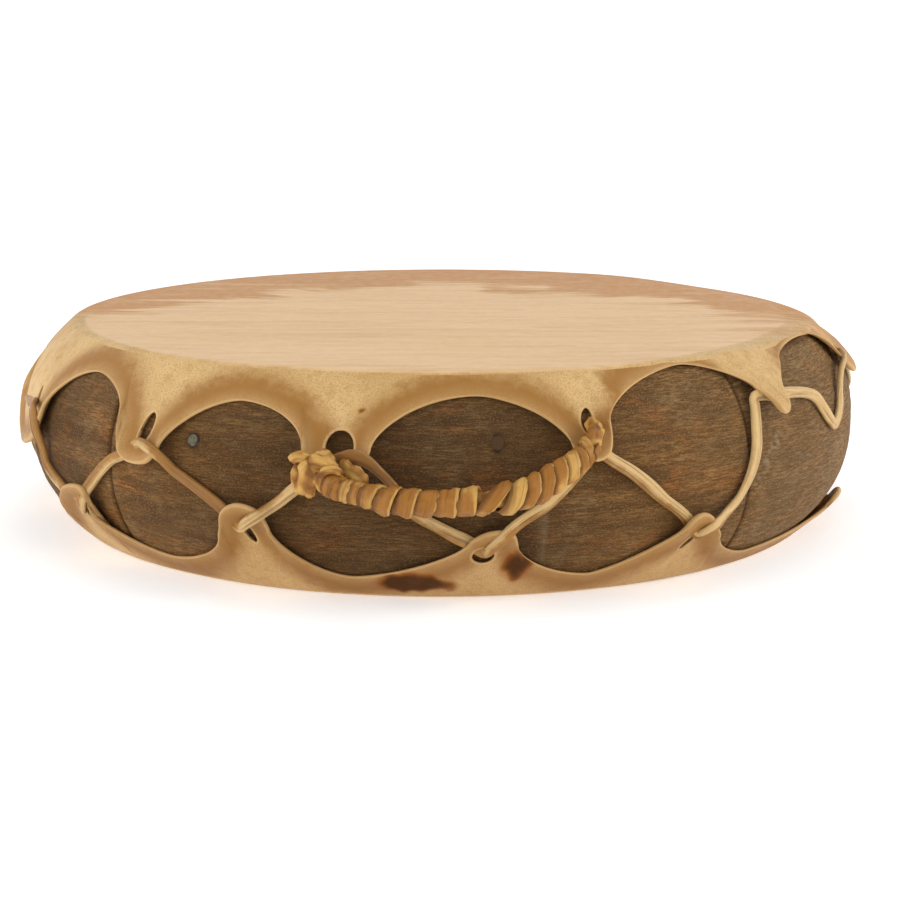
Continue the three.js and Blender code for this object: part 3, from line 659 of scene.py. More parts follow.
def skin_piece(name, tabs, arches, side, material, node, marks):
    tabs = all_tabs(tabs, side)
    edge_az, edge_level, lift, share, tongue, reach = edge_columns(tabs, arches)
    count = len(edge_az)
    even = edge_az[0] + share * 360 / TABS
    rim_az = blend(edge_az, even, RIM_EVENING)

    # the skirt, from the bend at the rim to the cut edge
    corner = np.minimum(BEND_DROP, MID - edge_level - LEAST_STRIP)
    eased = EASED_DROP * smooth(rim_az, 72, 84) * smooth(rim_az, 150, 125)
    start = MID - corner - eased
    strip = np.hypot((edge_az - rim_az) / DEGREES_PER_MM, start - edge_level)
    t = np.linspace(0, 1, SKIRT_ROWS)[:, None] * (1 - SKIN / 2 / strip)
    level = blend(start, edge_level, t)
    az = blend(rim_az, edge_az, t**RIM_TURN)
    rise = lift_at(lift, (1 - t) * strip, reach)
    if side > 0:
        rise = rise + crease_height(az, level)

    # slots: the places inside one move out to its rim
    inside = np.zeros(level.shape, bool)
    for slot in (tab.slot for tab in tabs if tab.slot):
        across, upward, part = in_slot(slot, az, level)
        within = part < 1
        shrunk = np.maximum(part, 1e-3)
        moved_az, moved_level = from_slot(slot, across / shrunk, upward / shrunk)
        az, level = np.where(within, moved_az, az), np.where(within, moved_level, level)
        inside |= within

    # distance to the nearest cut edge
    tree = kdtree.KDTree(3 * count)
    for turn in (-360, 0, 360):
        for i in range(count):
            tree.insert(((edge_az[i] + turn) / DEGREES_PER_MM, edge_level[i], 0), i)
    tree.balance()
    places = np.stack([az.ravel() / DEGREES_PER_MM, level.ravel(), 0 * az.ravel()], axis=-1)
    edge = np.array([tree.find(p)[2] for p in places]).reshape(az.shape)
    near_slot = np.full(az.shape, FAR_FROM_SLOT)
    lip = np.zeros(az.shape)
    for tab in tabs:
        if tab.slot:
            across, upward, part = in_slot(tab.slot, az, level)
            gap = (part - 1) * np.hypot(across, upward) / np.maximum(part, 1e-3)
            near_slot = np.minimum(near_slot, np.abs(gap))
        outline = np.array([p[:2] for p in tab.outline])
        tip, half = outline[:, 1].min(), np.ptp(outline[:, 0]) / 2
        bottom = tab.slot.level - tab.slot.height / 2 if tab.slot else tip + 8
        depth = max(3.5, (bottom - tip) / 2 + 1)
        sideways = np.exp(-(((az - outline[:, 0].mean()) / half) ** 4))
        lip = np.maximum(lip, hump(level - (tip + bottom) / 2, depth) * sideways)
    rim = np.minimum(edge, near_slot)
    bead = BEAD * hump(rim, BEAD_WIDTH)

    spots = at(az, side * level, BELLY_RADIUS)
    ripple = RIPPLE * layered(spots, (16, 16, 22), 5) * smooth(t, 0, 0.15)
    pleats = PLEATS * along(share + 0 * az, 0.06, 8) * smooth(t, 0.0, 0.12) * (1 - smooth(t, 0.3, 0.9))
    outer_off = FIT + SKIN + rise + bead + LIP_ROLL * lip + ripple + pleats * tongue
    inner_off = FIT + rise - LIP_ROLL_INSIDE * lip + np.minimum(0, ripple)

    # the flat and the bend above the skirt
    flat_radius = np.array(FLAT_ROWS, float)
    b = np.linspace(0, 1, BEND_ROWS + 1, endpoint=False)[:, None]
    first = wood_radius(level[0]) + outer_off[0]
    bend_radius = (1 - b) ** 2 * BEND_START + 2 * b * (1 - b) * BEND_CORNER + b**2 * first
    bend_drop = b**2 * corner + 0 * bend_radius
    top_radius = np.vstack([flat_radius[:, None] + 0 * first, bend_radius])
    top_drop = np.vstack([0 * flat_radius[:, None] + 0 * first, bend_drop])
    top_share = np.clip(top_radius / BEND_START, 0, 1) ** 3
    top_az = blend(even, rim_az, top_share)
    sag = SAG * layered(at(top_az, 0, top_radius) * [1, 1, 0], 60, 11) * smooth(top_radius, 201, 150)
    top_drop = top_drop + np.abs(sag) + eased * smooth(top_radius, EASED_FROM, BEND_START + 1)

    outer = np.vstack([at(top_az, side * (MID - top_drop), top_radius),
                       at(az, side * level, wood_radius(level) + outer_off)])
    inner = np.vstack([at(top_az, side * (MID - SKIN - top_drop), top_radius - SKIN / 2),
                       at(az, side * level, wood_radius(level) + inner_off)])
    rows = outer.shape[0]
    flat_rows = len(FLAT_ROWS) + BEND_ROWS + 1

    # the rounded cut edge
    middle = (outer[-1] + inner[-1]) / 2
    half = np.linalg.norm(outer[-1] - inner[-1], axis=-1, keepdims=True) / 2
    normal = unit(outer[-1] - inner[-1])
    ahead = outer[-1] - outer[-2]
    ahead = unit(ahead - dot(ahead, normal) * normal)
    turn = [math.pi * (k + 1) / (EDGE_ROWS + 1) for k in range(EDGE_ROWS)]
    rounded = np.stack([middle + half * (math.cos(a) * normal + math.sin(a) * ahead) for a in turn])

    sheet = np.vstack([outer, rounded, inner[::-1]])
    total = sheet.shape[0]
    points = sheet.reshape(-1, 3)
    quads = grid_quads(total, count)
    hole = np.zeros((total, count), bool)
    hole[flat_rows:rows] = inside
    hole[rows + EDGE_ROWS : rows + EDGE_ROWS + len(inside)] = inside[::-1]
    cut = hole.ravel()[quads].all(axis=-1)

    # walls of the slots, between the two faces of the skin
    faces = quads[~cut].tolist()
    extra, walls = slot_walls(points, cut, rows, total, count)
    faces += walls
    centre = len(points) + len(extra)
    caps = [[0, 0, MID + side * MID], [0, 0, MID + side * (MID - SKIN)]]
    ring = np.arange(count)
    faces += [[centre, r, (r + 1) % count] for r in ring]
    last = (total - 1) * count
    faces += [[centre + 1, last + (r + 1) % count, last + r] for r in ring]
    points = np.vstack([points, extra, caps]) if len(extra) else np.vstack([points, caps])

    def spread(upper, skirt, edge_value):
        both = np.vstack([upper + np.zeros((flat_rows, count)), skirt])
        bent = np.full((EDGE_ROWS, count), edge_value)
        flatly = np.vstack([both, bent, both[::-1]]).ravel()
        return np.concatenate([flatly, np.full(len(extra), edge_value), [both[0, 0]] * 2])

    used = np.zeros(len(points), bool)
    used[np.concatenate([np.ravel(f) for f in faces])] = True
    index = np.cumsum(used) - 1
    faces = [[index[v] for v in f] for f in faces]
    patch, stain, pale_and_painted_light = marks(outer, az, level)
    attributes = {
        # the distance to a cut edge, shortened beside the crease on the top skin to paint shade there
        "edge": spread(FAR_FROM_EDGE, edge + pale_and_painted_light, 0.0)[used],
        # the distance to a cut edge or slot, where the pale line of painted highlight goes
        "rim": spread(FAR_FROM_EDGE, rim, 0.0)[used],
        "beyond": spread(top_radius - flat_limit(top_az), PAST_FLAT + 0 * az, PAST_FLAT)[used],
        "stain": spread(0.0, stain, 0.0)[used],
        "patch": spread(patch[:flat_rows], patch[flat_rows:], 0.0)[used],
    }
    add_piece(name, points[used], faces, material, [node], attributes)


def crease_height(az, level, aside=0.0, narrow=1.0):
    """The height of the crease, or of a narrower line beside it."""
    (top_az, top_level), (low_az, low_level), wide, high = CREASE
    run = (top_level - level) / (top_level - low_level)
    across = (az - blend(top_az, low_az, np.clip(run, 0, 1))) / DEGREES_PER_MM - aside
    ridge = high * np.exp(-np.abs(across / wide / narrow) ** 1.5)
    return ridge * smooth(run, -0.05, 0.3) * smooth(run, 1.1, 0.6)


def slot_walls(points, cut, rows, total, count):
    """Joins the two faces round each slot through a middle ring of new points."""
    start = len(points)
    extra, middle, walls = [], {}, []

    def mid_of(vertex):
        if vertex not in middle:
            row, column = divmod(vertex, count)
            twin = (total - 1 - row) * count + column
            middle[vertex] = (start + len(extra), twin)
            extra.append((points[vertex] + points[twin]) / 2)
        return middle[vertex]

    for row, column in zip(*np.nonzero(cut[: rows - 1])):
        right = (column + 1) % count
        here = row * count + column
        under = here + count
        sides = {
            (row - 1, column): (here, row * count + right),
            (row + 1, column): (under, (row + 1) * count + right),
            (row, (column - 1) % count): (here, under),
            (row, right): (row * count + right, (row + 1) * count + right),
        }
        for (r, c), (a, b) in sides.items():
            if not cut[r, c]:
                (ma, ta), (mb, tb) = mid_of(a), mid_of(b)
                walls += [[a, b, mb, ma], [ma, mb, tb, ta]]
    return np.array(extra), walls


# Spots as azimuth, level, half width, half height and slant
FLECK = (-9.4, 37.4, 1.7, 0.7, 0.35)
PALE_SPOTS = ((14, (45.5, 41, 38, 20)), (9, (19.5, 42, 10, 9)))
STAINS = ((1, (-2.4, 43.4, 17, 5.2, 0.12)), (0.8, (-4.6, 45.6, 11, 4)), (1, (9.3, 33.5, 7, 8.5, -0.2)))


def top_marks(outer, az, level):
    """Shares from 0 to 1 of the brown patch and the stains, and how much paler the skirt is near its edge,
    less pale beside the crease where shade is painted.
    """
    x, y = outer[..., 0], outer[..., 1]
    ragged = 24 * layered(outer * [0.3, 1.7, 0], 26, 21)
    patch = 0.85 * smooth(np.hypot(x, y + 66) + ragged, 154, 180) * smooth(y, -60, 20)
    right = 0.5 * smooth(x + 0.5 * ragged, 120, 190) * smooth(y, -150, -60)
    fleck = spot(az, level, *FLECK) * 0.75
    pale_and_painted_light = sum(depth * spot(az, level, *place) for depth, place in PALE_SPOTS)
    # painted shade: the tan band reaches further along the valley beside the crease
    pale_and_painted_light = pale_and_painted_light - 3.5 * crease_height(az, level, 2.6, 0.4)
    return np.maximum(patch, right), fleck, pale_and_painted_light


def bottom_marks(outer, az, level):
    """The same three measures; the bottom skin has only stains."""
    stain = sum(depth * spot(az, level, *place) for depth, place in STAINS)
    return 0 * outer[..., 0], np.minimum(1, stain), 0 * az


def spot(az, level, spot_az, spot_level, wide, high, slant=0.0):
    """A soft spot, 1 at its middle, with half sizes in millimetres."""
    x = (az - spot_az) / DEGREES_PER_MM
    y = level - spot_level - slant * x
    uneven = 0.3 * noise(np.stack([x, y, 0 * x], axis=-1), (5, 4, 4), 71)
    return smooth(np.hypot(x / wide, y / high) + uneven, 1.65, 0.25)


# Shell segments

# The four pieces of the ring, with the azimuths of their seams
SEGMENTS = {
    "shell_front": (-45, 41),
    "shell_right": (41, 135),
    "shell_back": (135, 225),
    "shell_left": (225, 315),
}
SHELL_ROWS = 96
SHELL_STEP = 2.1
SEAM_ROUND = 1.4
RIM_ANGLES = (90.0, 60.0, 30.0)
WALL_ROWS = 7
# The splintered band's two ends, and the scratch's azimuth, level, half width and half height
SPLINTER = ((47.4, 17.5), (42.0, -4.5))
SCRATCH = (12.1, -20, 0.9, 12)


def shell_piece(name, span, material):
    gap = SEAM / 2 * DEGREES_PER_MM
    low, high = span[0] + gap, span[1] - gap
    steps = int((high - low) / DEGREES_PER_MM / SHELL_STEP)
    az = np.linspace(low, high, steps)[:, None]
    flat_top = SHELL_HALF - EDGE_ROUND

    level = np.linspace(flat_top, -flat_top, SHELL_ROWS)[None, :] + 0 * az
    outer_radius = wood_radius(level)
    place = np.stack([az / DEGREES_PER_MM + 0 * level, level, 0 * level], axis=-1)
    relief, raw = wood_relief(place, az + 0 * level, level)
    from_seam = np.minimum(az - low, high - az) / DEGREES_PER_MM
    rounding = 0.9 * (1 - smooth(from_seam, 0, SEAM_ROUND))
    outer_radius = outer_radius + relief - rounding

    rim_turn = np.radians(RIM_ANGLES)
    rim_radius = wood_radius(SHELL_HALF) - EDGE_ROUND
    crown = outer_radius[:, :1]
    top_level = flat_top + EDGE_ROUND * np.sin(rim_turn)[None, :] + 0 * az
    top_radius = rim_radius + (crown - rim_radius) * np.cos(rim_turn)[None, :]
    inner_level = np.linspace(-SHELL_HALF, SHELL_HALF, WALL_ROWS)[None, :] + 0 * az
    inner_radius = wood_radius(inner_level) - WALL

    foot = outer_radius[:, -1:]
    base_radius = rim_radius + (foot - rim_radius) * np.cos(rim_turn[::-1])[None, :]
    levels = np.hstack([top_level, level, -top_level[:, ::-1], inner_level])
    radii = np.hstack([top_radius, outer_radius, base_radius, inner_radius])
    columns = levels.shape[1]
    points = at(az + 0 * levels, levels, radii).reshape(-1, 3)
    faces = tube_faces(steps, columns)

    def spread(values, fill=0.0):
        full = np.full(levels.shape, fill)
        full[:, len(RIM_ANGLES) : len(RIM_ANGLES) + SHELL_ROWS] = values
        return full.ravel()

    arc = (az / DEGREES_PER_MM + 0 * levels).ravel()
    lay = np.stack([arc, levels.ravel() + 0.02 * radii.ravel(), radii.ravel() * 0.05], axis=-1)
    greyer = 0.55 * smooth(az, 20, 60) * smooth(az, 130, 80) + 0.25 * smooth(level, 10, 45)
    grime = 0.5 * (1 - smooth(from_seam, 0.2, 1.6)) + nail_grime(az, level)
    attributes = {
        "lay": lay,
        "raw": spread(raw),
        "greyer": spread(np.clip(greyer, 0, 0.6)),
        # the wood's own tone together with painted light and shade by azimuth
        "tone": spread(looked_up((az + 180) % 360 - 180, WOOD_TONES_AND_PAINTED_LIGHT) + 0 * level, 1.0),
        "grime": spread(np.clip(grime, 0, 0.9)),
    }
    add_piece(name, points, faces, material, [name], attributes)


def nail_grime(az, level):
    """Dark rings in the wood round the nails."""
    total = 0 * az * level
    for nail_az, nail_level, radius, narrow in NAILS.values():
        reach = np.hypot((az - nail_az) / DEGREES_PER_MM / narrow, level - nail_level)
        total = total + 0.8 * hump(reach - radius, 1.4)
    return total


def wood_relief(place, az, level):
    """Heights of the worn surface in millimetres, and where raw wood shows, from 0 to 1."""
    broad = 0.5 * layered(place, (90, 26, 1), 31, 2)
    ridges = layered(place, (46, 3.2, 1), 33, 3)
    fine = 0.16 * ridges - 0.35 * smooth(ridges, 0.45, 1.1)
    check = noise(place, (70, 1.7, 1), 37)
    checks = -0.5 * smooth(check, 0.72, 0.95)

    (top_az, top_level), (low_az, low_level) = SPLINTER
    run = np.clip((top_level - level) / (top_level - low_level), 0, 1)
    across = (az - blend(top_az, low_az, run)) / DEGREES_PER_MM
    within = smooth(level, low_level - 5, low_level + 2) * smooth(level, top_level + 6, top_level - 1)
    torn = noise(place + across[..., None] * [0, 1.2, 0], (1.3, 4.2, 1), 41)
    chipped = noise(place, (1.1, 1.7, 1), 43)
    groove = hump(across, 1.6) * within
    sliver = hump(across - 2.6, 1.5) * within
    raw = sliver * smooth(torn + 0.5 * chipped, -0.3, 0.5) + 0.6 * groove * smooth(chipped, 0, 0.5)
    raw = np.clip(raw, 0, 1)

    scratch_az, scratch_level, wide, high = SCRATCH
    off = (az - scratch_az) / DEGREES_PER_MM
    rub = hump(off, wide) * smooth(np.abs(level - scratch_level), high + 3, high)
    relief = broad + fine + checks - 1.1 * groove + 0.5 * sliver * torn - 0.2 * rub
    return relief, np.clip(0.85 * raw + 0.45 * rub, 0, 1)


# Lacing: the route's places as azimuth, level, distance off the wood and share of the full width

THONG_WIDTH = 6.0
THONG_THICK = 3.2
THONG_SIDES = 18
THONG_STEP = 1.5
# The thong's middle, off the wood, where it lies on it
LOW = 2.2
# How much paler or browner the thong is at each azimuth
THONG_TONES = (
    (-180, 0), (-90, -0.6), (-60, -0.6), (-55, -0.3), (-50, -0.1), (-36, 0), (-33, -0.9), (-25, -0.8),
    (-22, 0.2), (-15, 0.2), (-13, -0.9), (-6, -0.9), (-3, 0), (36, 0), (39, 0.7), (50, 0.6), (70, 0.1),
    (180, 0),
)
FRONT_ROUTE = [
    [-84, 5, LOW], [-79, 11, LOW], [-73, 14.5, 2.6], [-69, 17, 2.8], [-66.4, 18.8, 4.8, 0.8],
    [-64.8, 18, 7.2, 0.85], [-63.6, 14.8, 7.6], [-62.6, 8, 7], [-62.3, 2.4, 5.2], [-62.4, -2.5, 3.4],
    [-62.2, -10, 2.6], [-60.4, -14.9, LOW], [-58, -18, 2.4], [-56, -20.4, 2.6], [-54, -22, 2.8],
    [-52.4, -23, 3.4], [-51, -25.4, 6, 0.8], [-49.7, -22.5, 8.8, 0.9], [-49.1, -16.5, 7.4],
    [-48.5, -10.9, 3.4], [-46.1, -1.9, LOW], [-43.9, 4.3, LOW], [-41.9, 7.6, 2.6], [-40.2, 11.3, 3.2],
    [-38.3, 15.9, 6, 0.8], [-36.5, 16.8, 9.8, 0.88], [-35.1, 14.8, 9.8], [-34.4, 11.8, 7.4],
    [-34, 8.8, 4.4], [-33.2, 5.1, 2.5], [-30.4, -0.5, LOW], [-28.3, -5.1, LOW], [-26.6, -9.2, 2.4],
    [-25.6, -12.2, 2.8], [-24.7, -15.2, 3.4], [-23.6, -17.4, 6.2, 0.8], [-22.1, -13.8, 9.9, 0.88],
    [-20.9, -10.6, 9.4], [-20.2, -8.6, 6.4], [-19.6, -6.8, 3.4], [-18.7, -4.2, 2.3], [-17.6, -0.4, 2.3],
    [-16.6, 3.1, 2.3], [-15.8, 7.5, 2.6], [-14.5, 12.4, 3], [-13.2, 15.8, 3.4], [-12.2, 16.4, 4.4, 0.9],
    [-11, 17.8, 7.2, 1.05], [-9.8, 19.2, 9, 1.15], [-8.8, 18.9, 9.4, 1.1], [-7.8, 16.7, 8.6, 0.9],
    [-6.9, 13.2, 6.8, 0.75], [-6, 9.3, 5, 0.7], [-5.1, 4.4, 3.2, 0.8], [-4, -1.7, 2.3], [-2.6, -8, 2.3],
    [-0.3, -13.3, 2.3], [1.5, -17.4, 2.5], [3, -20.4, 2.9], [4.1, -23.4, 3.4], [5.1, -25.8, 5.8, 0.8],
    [5.9, -21.7, 9.6, 0.9], [7.1, -17.1, 9.4], [8.1, -13.8, 6.8], [9.2, -11.2, 4], [10.9, -7.4, 2.6],
    [12.3, -4, 2.3], [14.5, 3.6, 2.3], [16.2, 10.4, 2.5], [17.2, 15.6, 2.9], [18, 20.5, 3.1],
    [18.8, 18.6, 3.1], [20.2, 14.4, 2.8], [22.5, 8.7, 2.3], [24.7, 1.8, 2.3], [27, -6.2, 2.3],
    [29, -11.9, 2.4], [30.3, -16.4, 2.8], [31.2, -20.6, 3.2], [32, -25.8, 5.6, 0.75],
    [33.1, -22.8, 9, 0.85], [34.3, -20, 8.8], [35.6, -17.8, 6.2], [37.2, -15.2, 3.4], [38.6, -11.2, 2.4],
    [40.4, -0.2, 2.4], [41.4, 11.3, 2.6], [41.9, 22.8, 3], [42.4, 30, 3.6], [42.7, 34, 4.2],
    [44.2, 34.9, 5], [45.6, 34.3, 5.4], [47.6, 33.7, 5.4], [50.2, 33, 5], [54.2, 30.6, 3.8],
    [56.8, 27, 2.8], [58.4, 20, 2.4], [60.2, 13.4, LOW], [61.4, 10.8, LOW], [62.9, 12.8, LOW],
    [64.7, 18, 2.4], [66.6, 25.8, 3], [69.6, 32.8, 4.4], [71.8, 35.6, 5.8], [74.2, 37.2, 6.2],
    [76.4, 37.8, 4.8, 0.8], [78.6, 37, 2.8, 0.85], [81, 34, LOW], [84, 28, LOW], [88, 18, LOW],
]
# Degrees of azimuth between two places of the route, at most
LONGEST_RUN = 7.0
# The thong's tilt from side to side, in degrees, and how far from the start it begins
THONG_TILT = 30
TILT_START = 20


def crossing(tab, side):
    """The thong's places at one tab: behind its left side, out through the slot and over its right side."""
    tip = min(p[1] for p in tab.outline)
    slot = tab.slot
    bottom = slot.level - slot.height / 2
    stands = lift_at(tab.lift, bottom - tip, tab.reach)
    through = FIT + stands + SKIN / 2
    over = FIT + tab.lift + SKIN + THONG_THICK / 2
    places = [
        (-10, tip - 6, LOW, 1),
        (-5.5, (tip + bottom) / 2 - 1, 3, 1),
        (-0.5, bottom + 1.6, through, 0.8),
        (4, bottom + 0.8, over, 0.88),
        (8.5, tip + 3, over - 0.6, 1),
        (12, tip - 3, 4.4, 1),
        (17, tip - 9, LOW, 1),
    ]
    return [[slot.az + x * DEGREES_PER_MM, side * level, off, share] for x, level, off, share in places]


def lacing_route():
    top, bottom = all_tabs(TOP_TABS, 1), all_tabs(BOTTOM_TABS, -1)
    route = [[*p, 1][:4] for p in FRONT_ROUTE]
    for i in range(len(BOTTOM_TABS), TABS):
        if i >= len(TOP_TABS):
            route += crossing(top[i], 1)
        route += crossing(bottom[i], -1)
    eased = []
    for i, here in enumerate(route):
        after = route[(i + 1) % len(route)]
        ahead = after[0] + (360 if i + 1 == len(route) else 0)
        cuts = int((ahead - here[0]) // LONGEST_RUN)
        eased.append(here)
        for k in range(cuts):
            f = (k + 1) / (cuts + 1)
            eased.append([blend(here[0], ahead, f), blend(here[1], after[1], f), LOW, 1])
    return np.array(eased, float)


def carried_normals(places, tangents):
    """Normals that face away from the drum, carried on where the line itself points outwards."""
    normals = np.zeros_like(places)
    normal = None
    outward = unit(places * [1, 1, 0])
    for i, tangent in enumerate(tangents):
        flat = outward[i] - (outward[i] @ tangent) * tangent
        weight = flat @ flat
        if normal is None:
            normal = flat / math.sqrt(weight)
        else:
            normal = normal - (normal @ tangent) * tangent
            normal /= np.linalg.norm(normal)
            sign = 1.0 if normal @ flat >= 0 else -1.0
            mixed = normal * (1 - weight) + sign * flat * weight
            normal = mixed / np.linalg.norm(mixed)
        normals[i] = normal
    return normals


def tangents_of(places, closed):
    if closed:
        return unit(np.roll(places, -1, axis=0) - np.roll(places, 1, axis=0))
    return unit(np.gradient(places, axis=0))


def rolled_section(sides, width, thick, groove, groove_place):
    """A flat strip curled lengthwise: an oval with a groove in its outer face, per station."""
    a = full_turn(sides)[None, :]
    x = np.sign(np.cos(a)) * np.abs(np.cos(a)) ** 0.85
    y = np.sign(np.sin(a)) * np.abs(np.sin(a)) ** 0.8
    dip = groove * hump(x - groove_place, 0.3) * (np.sin(a) > 0)
    return x * width / 2, y * thick / 2 - dip


def sweep(places, normals, across, outward, closed):
    """Points and faces of sections carried along a line."""
    tangents = tangents_of(places, closed)
    sidewards = np.cross(tangents, normals)
    points = (
        places[:, None, :]
        + across[:, :, None] * sidewards[:, None, :]
        + outward[:, :, None] * normals[:, None, :]
    )
    stations, sides = across.shape
    if not closed:
        return points.reshape(-1, 3), tube_faces(stations, sides)
    # the two ends meet at the turn that brings their points nearest
    faces = grid_quads(stations, sides).reshape(-1, 4).tolist()
    gap = np.linalg.norm(points[-1][:, None, :] - points[0][None, :, :], axis=-1)
    ring = np.arange(sides)
    shift = int(np.argmin([gap[ring, (ring + k) % sides].sum() for k in range(sides)]))
    base = (stations - 1) * sides
    for k in range(sides):
        j = (k + 1) % sides
        faces.append([base + k, (k + shift) % sides, (j + shift) % sides, base + j])
    return points.reshape(-1, 3), faces


def strip_attributes(length, across, outward, pale_and_painted_light, painted_shade_and_dark):
    """Colour measures of a swept strip: where on it a point lies, how pale it is with its painted highlight,
    and its painted shade.
    """
    stations, sides = across.shape
    run = np.repeat(length, sides)
    turn = np.tile(np.arange(sides) / sides * 6.0, stations)
    lay = np.stack([run, turn, 0 * run], axis=-1)
    return {"lay": lay, "pale_and_painted_light": pale_and_painted_light.ravel(), "painted_shade_and_dark": np.clip(painted_shade_and_dark, 0, 1).ravel()}


def lacing_piece(material):
    route = lacing_route()
    line = off_wood(route[:, 0], route[:, 1], route[:, 2])
    places, total = spline(np.column_stack([line, route[:, 3]]), THONG_STEP, closed=True)
    places, share = places[:, :3], places[:, 3]
    run = np.linspace(0, total, len(places), endpoint=False)
    tangents = tangents_of(places, True)
    normals = carried_normals(places, tangents)
    tilt = np.radians(THONG_TILT) * along(run, 30, 3)
    tilt = tilt * smooth(np.minimum(run, total - run), 0, TILT_START)
    sidewards = np.cross(tangents, normals)
    normals = unit(normals * np.cos(tilt)[:, None] + sidewards * np.sin(tilt)[:, None])

    width = THONG_WIDTH * share * (1 + 0.12 * along(run, 17, 5))
    thick = THONG_THICK * (0.92 + 0.14 * along(run, 12, 7)) * blend(0.85, 1, share)
    groove_place = 0.25 + 0.4 * along(run, 46, 9)
    groove = 0.55 + 0.35 * along(run, 21, 11)
    width, thick, groove, groove_place = (v[:, None] for v in (width, thick, groove, groove_place))
    across, outward = rolled_section(THONG_SIDES, width, thick, groove, groove_place)
    side = across / (width / 2)
    tone = looked_up(np.degrees(np.arctan2(places[:, 0], -places[:, 1])), THONG_TONES)
    # Painted light: a painted highlight along one edge of the strip, swapping sides along its length, painted
    # shade along the other edge, and the outer face painted paler
    pale_and_painted_light = 0.5 + 0.5 * side * np.sign(along(run, 150, 13) + 0.05)[:, None] + 0.15 * (outward > 0)
    pale_and_painted_light = pale_and_painted_light + tone[:, None]
    # Painted shade in the groove of the rolled strip; the strands browner by azimuth are darkened too
    painted_shade_and_dark = 0.75 * hump(side - groove_place, 0.16) * (outward > 0)
    painted_shade_and_dark = painted_shade_and_dark + 0.45 * smooth(-tone, 0.4, 0.9)[:, None]
    points, faces = sweep(places, normals, across, outward, True)
    attributes = strip_attributes(run, across, outward, pale_and_painted_light, painted_shade_and_dark)
    add_piece("lacing", points, faces, material, ["lacing"], attributes)


# Grip: a stiff core from tab to tab, knotted at the left, with a strip wound round it

GRIP_LINE = [
    [-12.7, 11, 16.4], [-11.4, 8.6, 17.2], [-10, 6.5, 18], [-8.2, 5.3, 19.4], [-5.1, 3.4, 21.5],
    [-2.8, 2.6, 22], [-0.5, 2.4, 22], [1.8, 2.9, 22], [4.2, 3.8, 22], [7.2, 4.2, 21.2], [9.2, 6.4, 19.8],
    [11.2, 9.8, 18.4], [13.2, 14.2, 17.2], [15, 18.2, 16.4], [16.5, 23.8, 15.8],
]
GRIP_INTO_TAB = [[17.4, 28.4, 13], [17.9, 30.6, 7], [18, 30.8, 2.2]]
KNOT_PLACE = [-14.2, 12.5, 14]
CORE_RADIUS = 3.3
GRIP_STEP = 1.0
ROD_STEP = 0.9
# Widths of the winding's turns from left to right, in millimetres; the gap comes after the eleventh
WRAP_PITCHES = (5.4, 4.6, 4.6, 5, 5.4, 7.4, 8.6, 9, 9, 9.4, 8.6, 8, 8, 7.8, 7.4, 6.8, 6, 5.2, 4.6)
WRAP_LEFT_TURNS = 11
WRAP_GAP = 4.5
# How far the turns stand off the core's middle, by share of the length
WRAP_CROWNS = (
    (0, 6), (0.08, 5.2), (0.16, 5.7), (0.25, 6.9), (0.36, 6.1), (0.45, 6.5), (0.55, 6.3), (0.62, 7.4),
    (0.72, 6.8), (0.85, 6.5), (0.93, 5.8), (1, 4.8),
)
WRAP_STEPS = 40
WRAP_SECTION = 22
WRAP_FOOT = 3.7
WRAP_THICK = 2.2
WRAP_OVERLAP = 1.22


def grip_line(places):
    p = np.array(places, float)
    return off_wood(p[:, 0], p[:, 1], p[:, 2])


def upright_frames(places):
    """For each place of the grip: its tangent, the direction away from the drum, and the one upwards."""
    tangents = tangents_of(places, False)
    outward = unit(places * [1, 1, 0])
    outward = unit(outward - dot(outward, tangents) * tangents)
    return tangents, outward, np.cross(outward, tangents)


